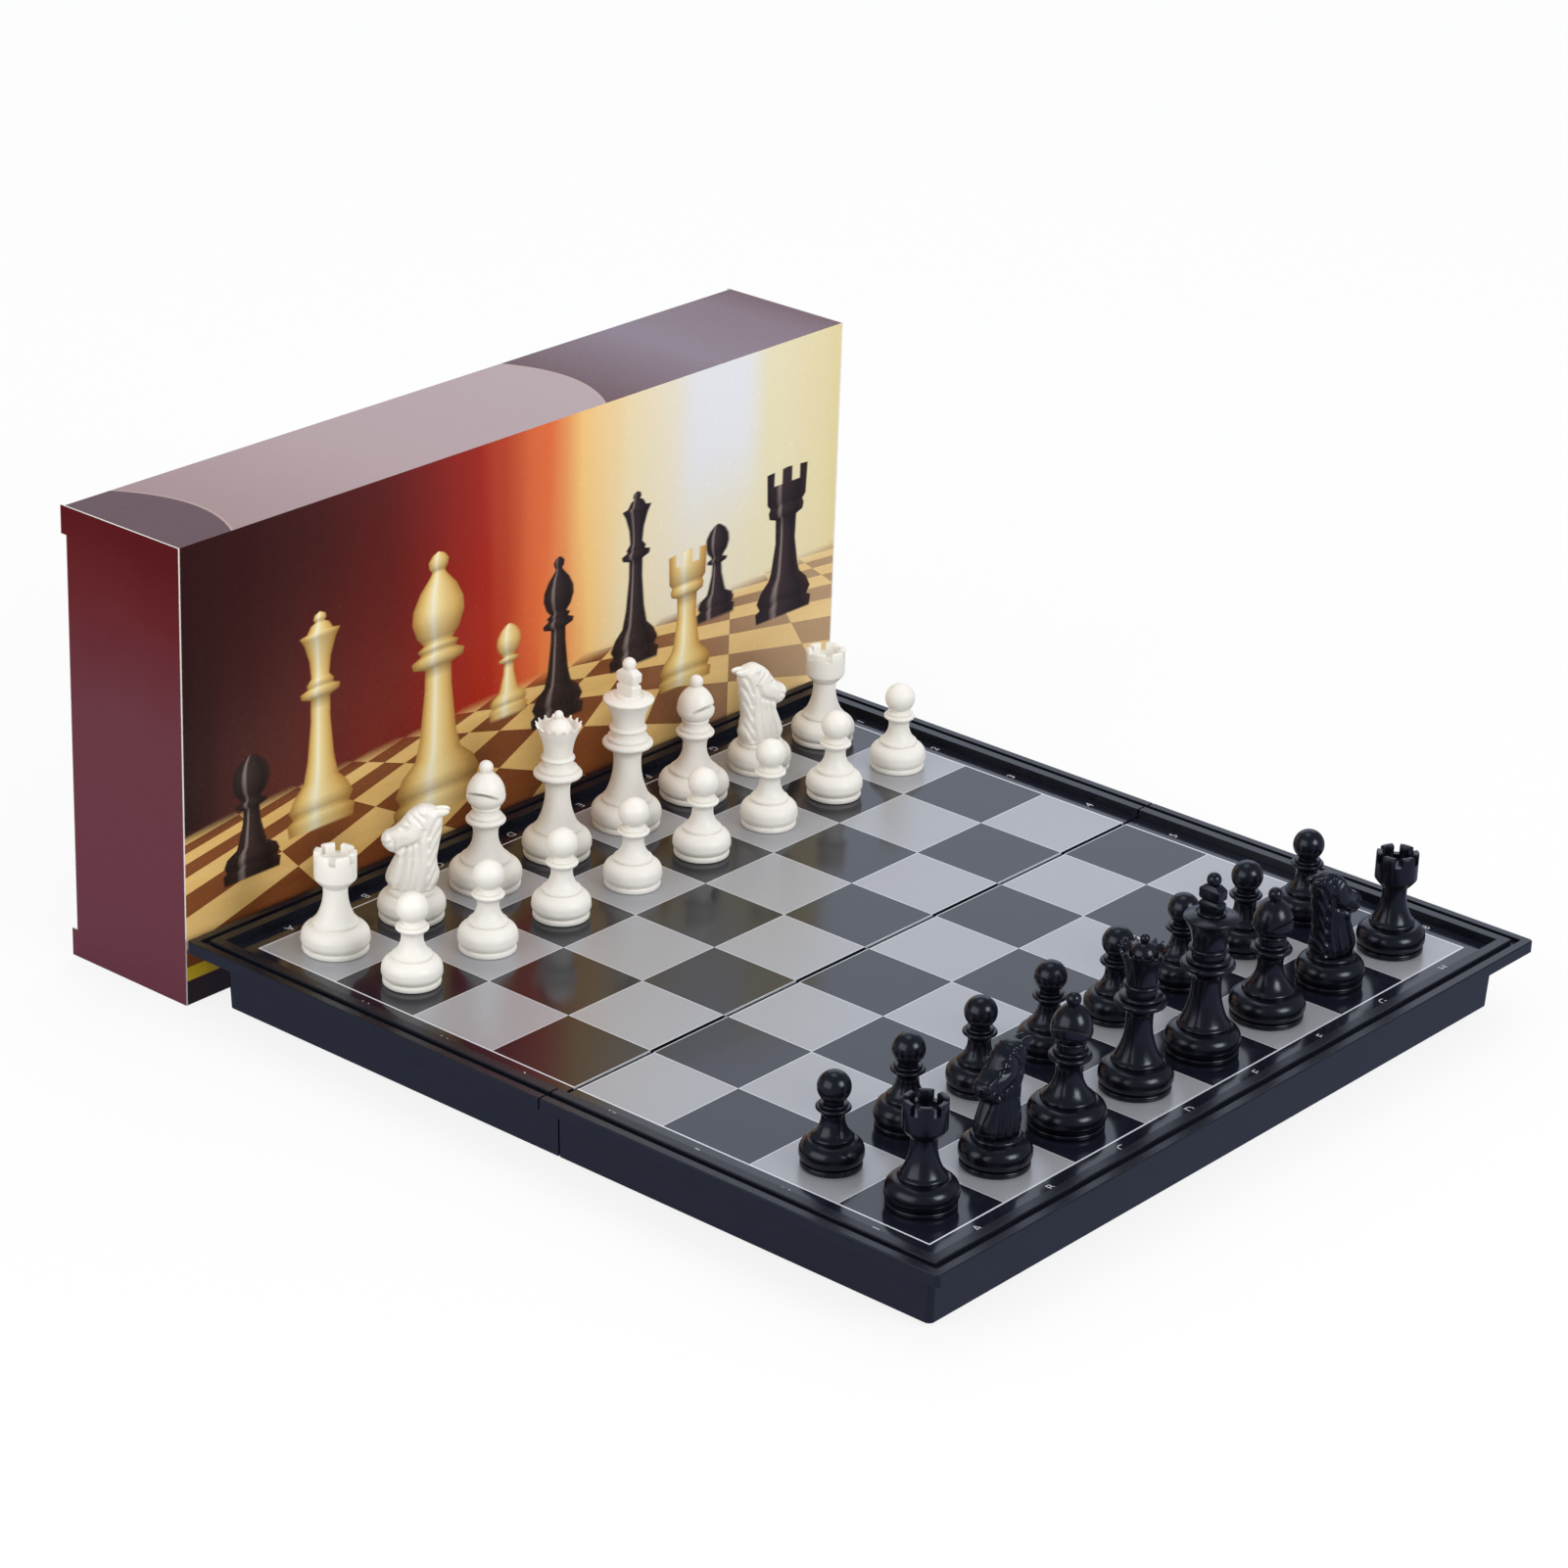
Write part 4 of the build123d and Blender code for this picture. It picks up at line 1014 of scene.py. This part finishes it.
# In metres
FLOOR_SIZE = 8.0
FLOOR_BELOW_FEET = 0.00005
bpy.ops.mesh.primitive_plane_add(size=FLOOR_SIZE, location=(0, 0, -FLOOR_BELOW_FEET))
floor = bpy.context.object
floor.name = floor.data.name = "floor"
settle(floor)
sheet = Finish("floor_sheet", Base_Color=(0.88, 0.88, 0.88), Roughness=0.9, Specular_IOR_Level=0.0)
seen = Value(sheet, sheet.surface.outputs[0])
for ray, share, colour in (
    ("Is Glossy Ray", 1.0, (0.34, 0.37, 0.54)), ("Is Camera Ray", 0.84, (1.0, 1.0, 1.0)),
):
    glow = sheet.node("ShaderNodeEmission", {}, {"Color": colour, "Strength": 1.0})
    factor = sheet.node("ShaderNodeLightPath", output=ray) * share
    seen = sheet.node("ShaderNodeMixShader", {}, [factor, seen, glow])
sheet.links.new(seen.socket, sheet.output.inputs["Surface"])
give(floor, sheet.material)

# The world is white to the camera, cool in reflections, and a soft even light on everything
world = bpy.data.worlds.new("studio")
world.use_nodes = True
nodes, links = world.node_tree.nodes, world.node_tree.links
nodes.clear()
light_path = nodes.new("ShaderNodeLightPath")
shader = None
for ray, colour, strength in (
    (None, (0.98, 0.99, 1.0), 0.70), ("Is Glossy Ray", (0.76, 0.83, 1.0), 0.33),
    ("Is Transmission Ray", (1.0, 1.0, 1.0), 1.0), ("Is Camera Ray", (1.0, 1.0, 1.0), 1.0),
):
    backdrop = nodes.new("ShaderNodeBackground")
    backdrop.inputs["Color"].default_value = (*colour, 1.0)
    backdrop.inputs["Strength"].default_value = strength
    if ray:
        choice = nodes.new("ShaderNodeMixShader")
        links.new(light_path.outputs[ray], choice.inputs[0])
        links.new(shader.outputs[0], choice.inputs[1])
        links.new(backdrop.outputs[0], choice.inputs[2])
        shader = choice
    else:
        shader = backdrop
links.new(shader.outputs[0], nodes.new("ShaderNodeOutputWorld").inputs[0])
bpy.context.scene.world = world


# Lamps and camera, in metres, watts, degrees, and millimetres of lens
def softbox(name, place, aim, size, power, colour):
    lamp = bpy.data.lights.new(name, "AREA")
    lamp.shape = "RECTANGLE"
    lamp.size, lamp.size_y = size
    lamp.energy = power
    lamp.color = colour
    lamp_object = bpy.data.objects.new(name, lamp)
    bpy.context.scene.collection.objects.link(lamp_object)
    lamp_object.location = place
    lamp_object.rotation_euler = (Vector(aim) - Vector(place)).to_track_quat("-Z", "Y").to_euler()


softbox("key_softbox", (1.7, 0.1, 1.0), (0, 0, 0.02), (0.8, 0.8), 15.5, (0.97, 0.98, 1.0))
softbox("fill_softbox", (-0.3, -1.9, 0.9), (0, 0, 0.05), (2.0, 1.4), 16.5, (1.0, 0.99, 0.97))
softbox("top_softbox", (-0.3, 0.2, 1.8), (0, 0, 0.0), (0.8, 0.8), 3.0, (1.0, 1.0, 1.0))
softbox("back_softbox", (-1.5, 1.9, 1.35), (0, 0, 0.0), (2.6, 1.8), 13.0, (0.80, 0.87, 1.0))

CAMERA_LENS = 111.919
CAMERA_PLACE = (0.919510, -1.142115, 0.728046)
CAMERA_TURN = (66.1997, -1.8743, 40.8196)

scene = bpy.context.scene
scene.view_settings.view_transform = "Standard"
camera_data = bpy.data.cameras.new("camera")
camera = bpy.data.objects.new("camera", camera_data)
scene.collection.objects.link(camera)
camera_data.sensor_width = 36.0
camera_data.lens = CAMERA_LENS
camera_data.clip_end = 20.0
camera.location = CAMERA_PLACE
camera.rotation_euler = [math.radians(angle) for angle in CAMERA_TURN]
scene.camera = camera
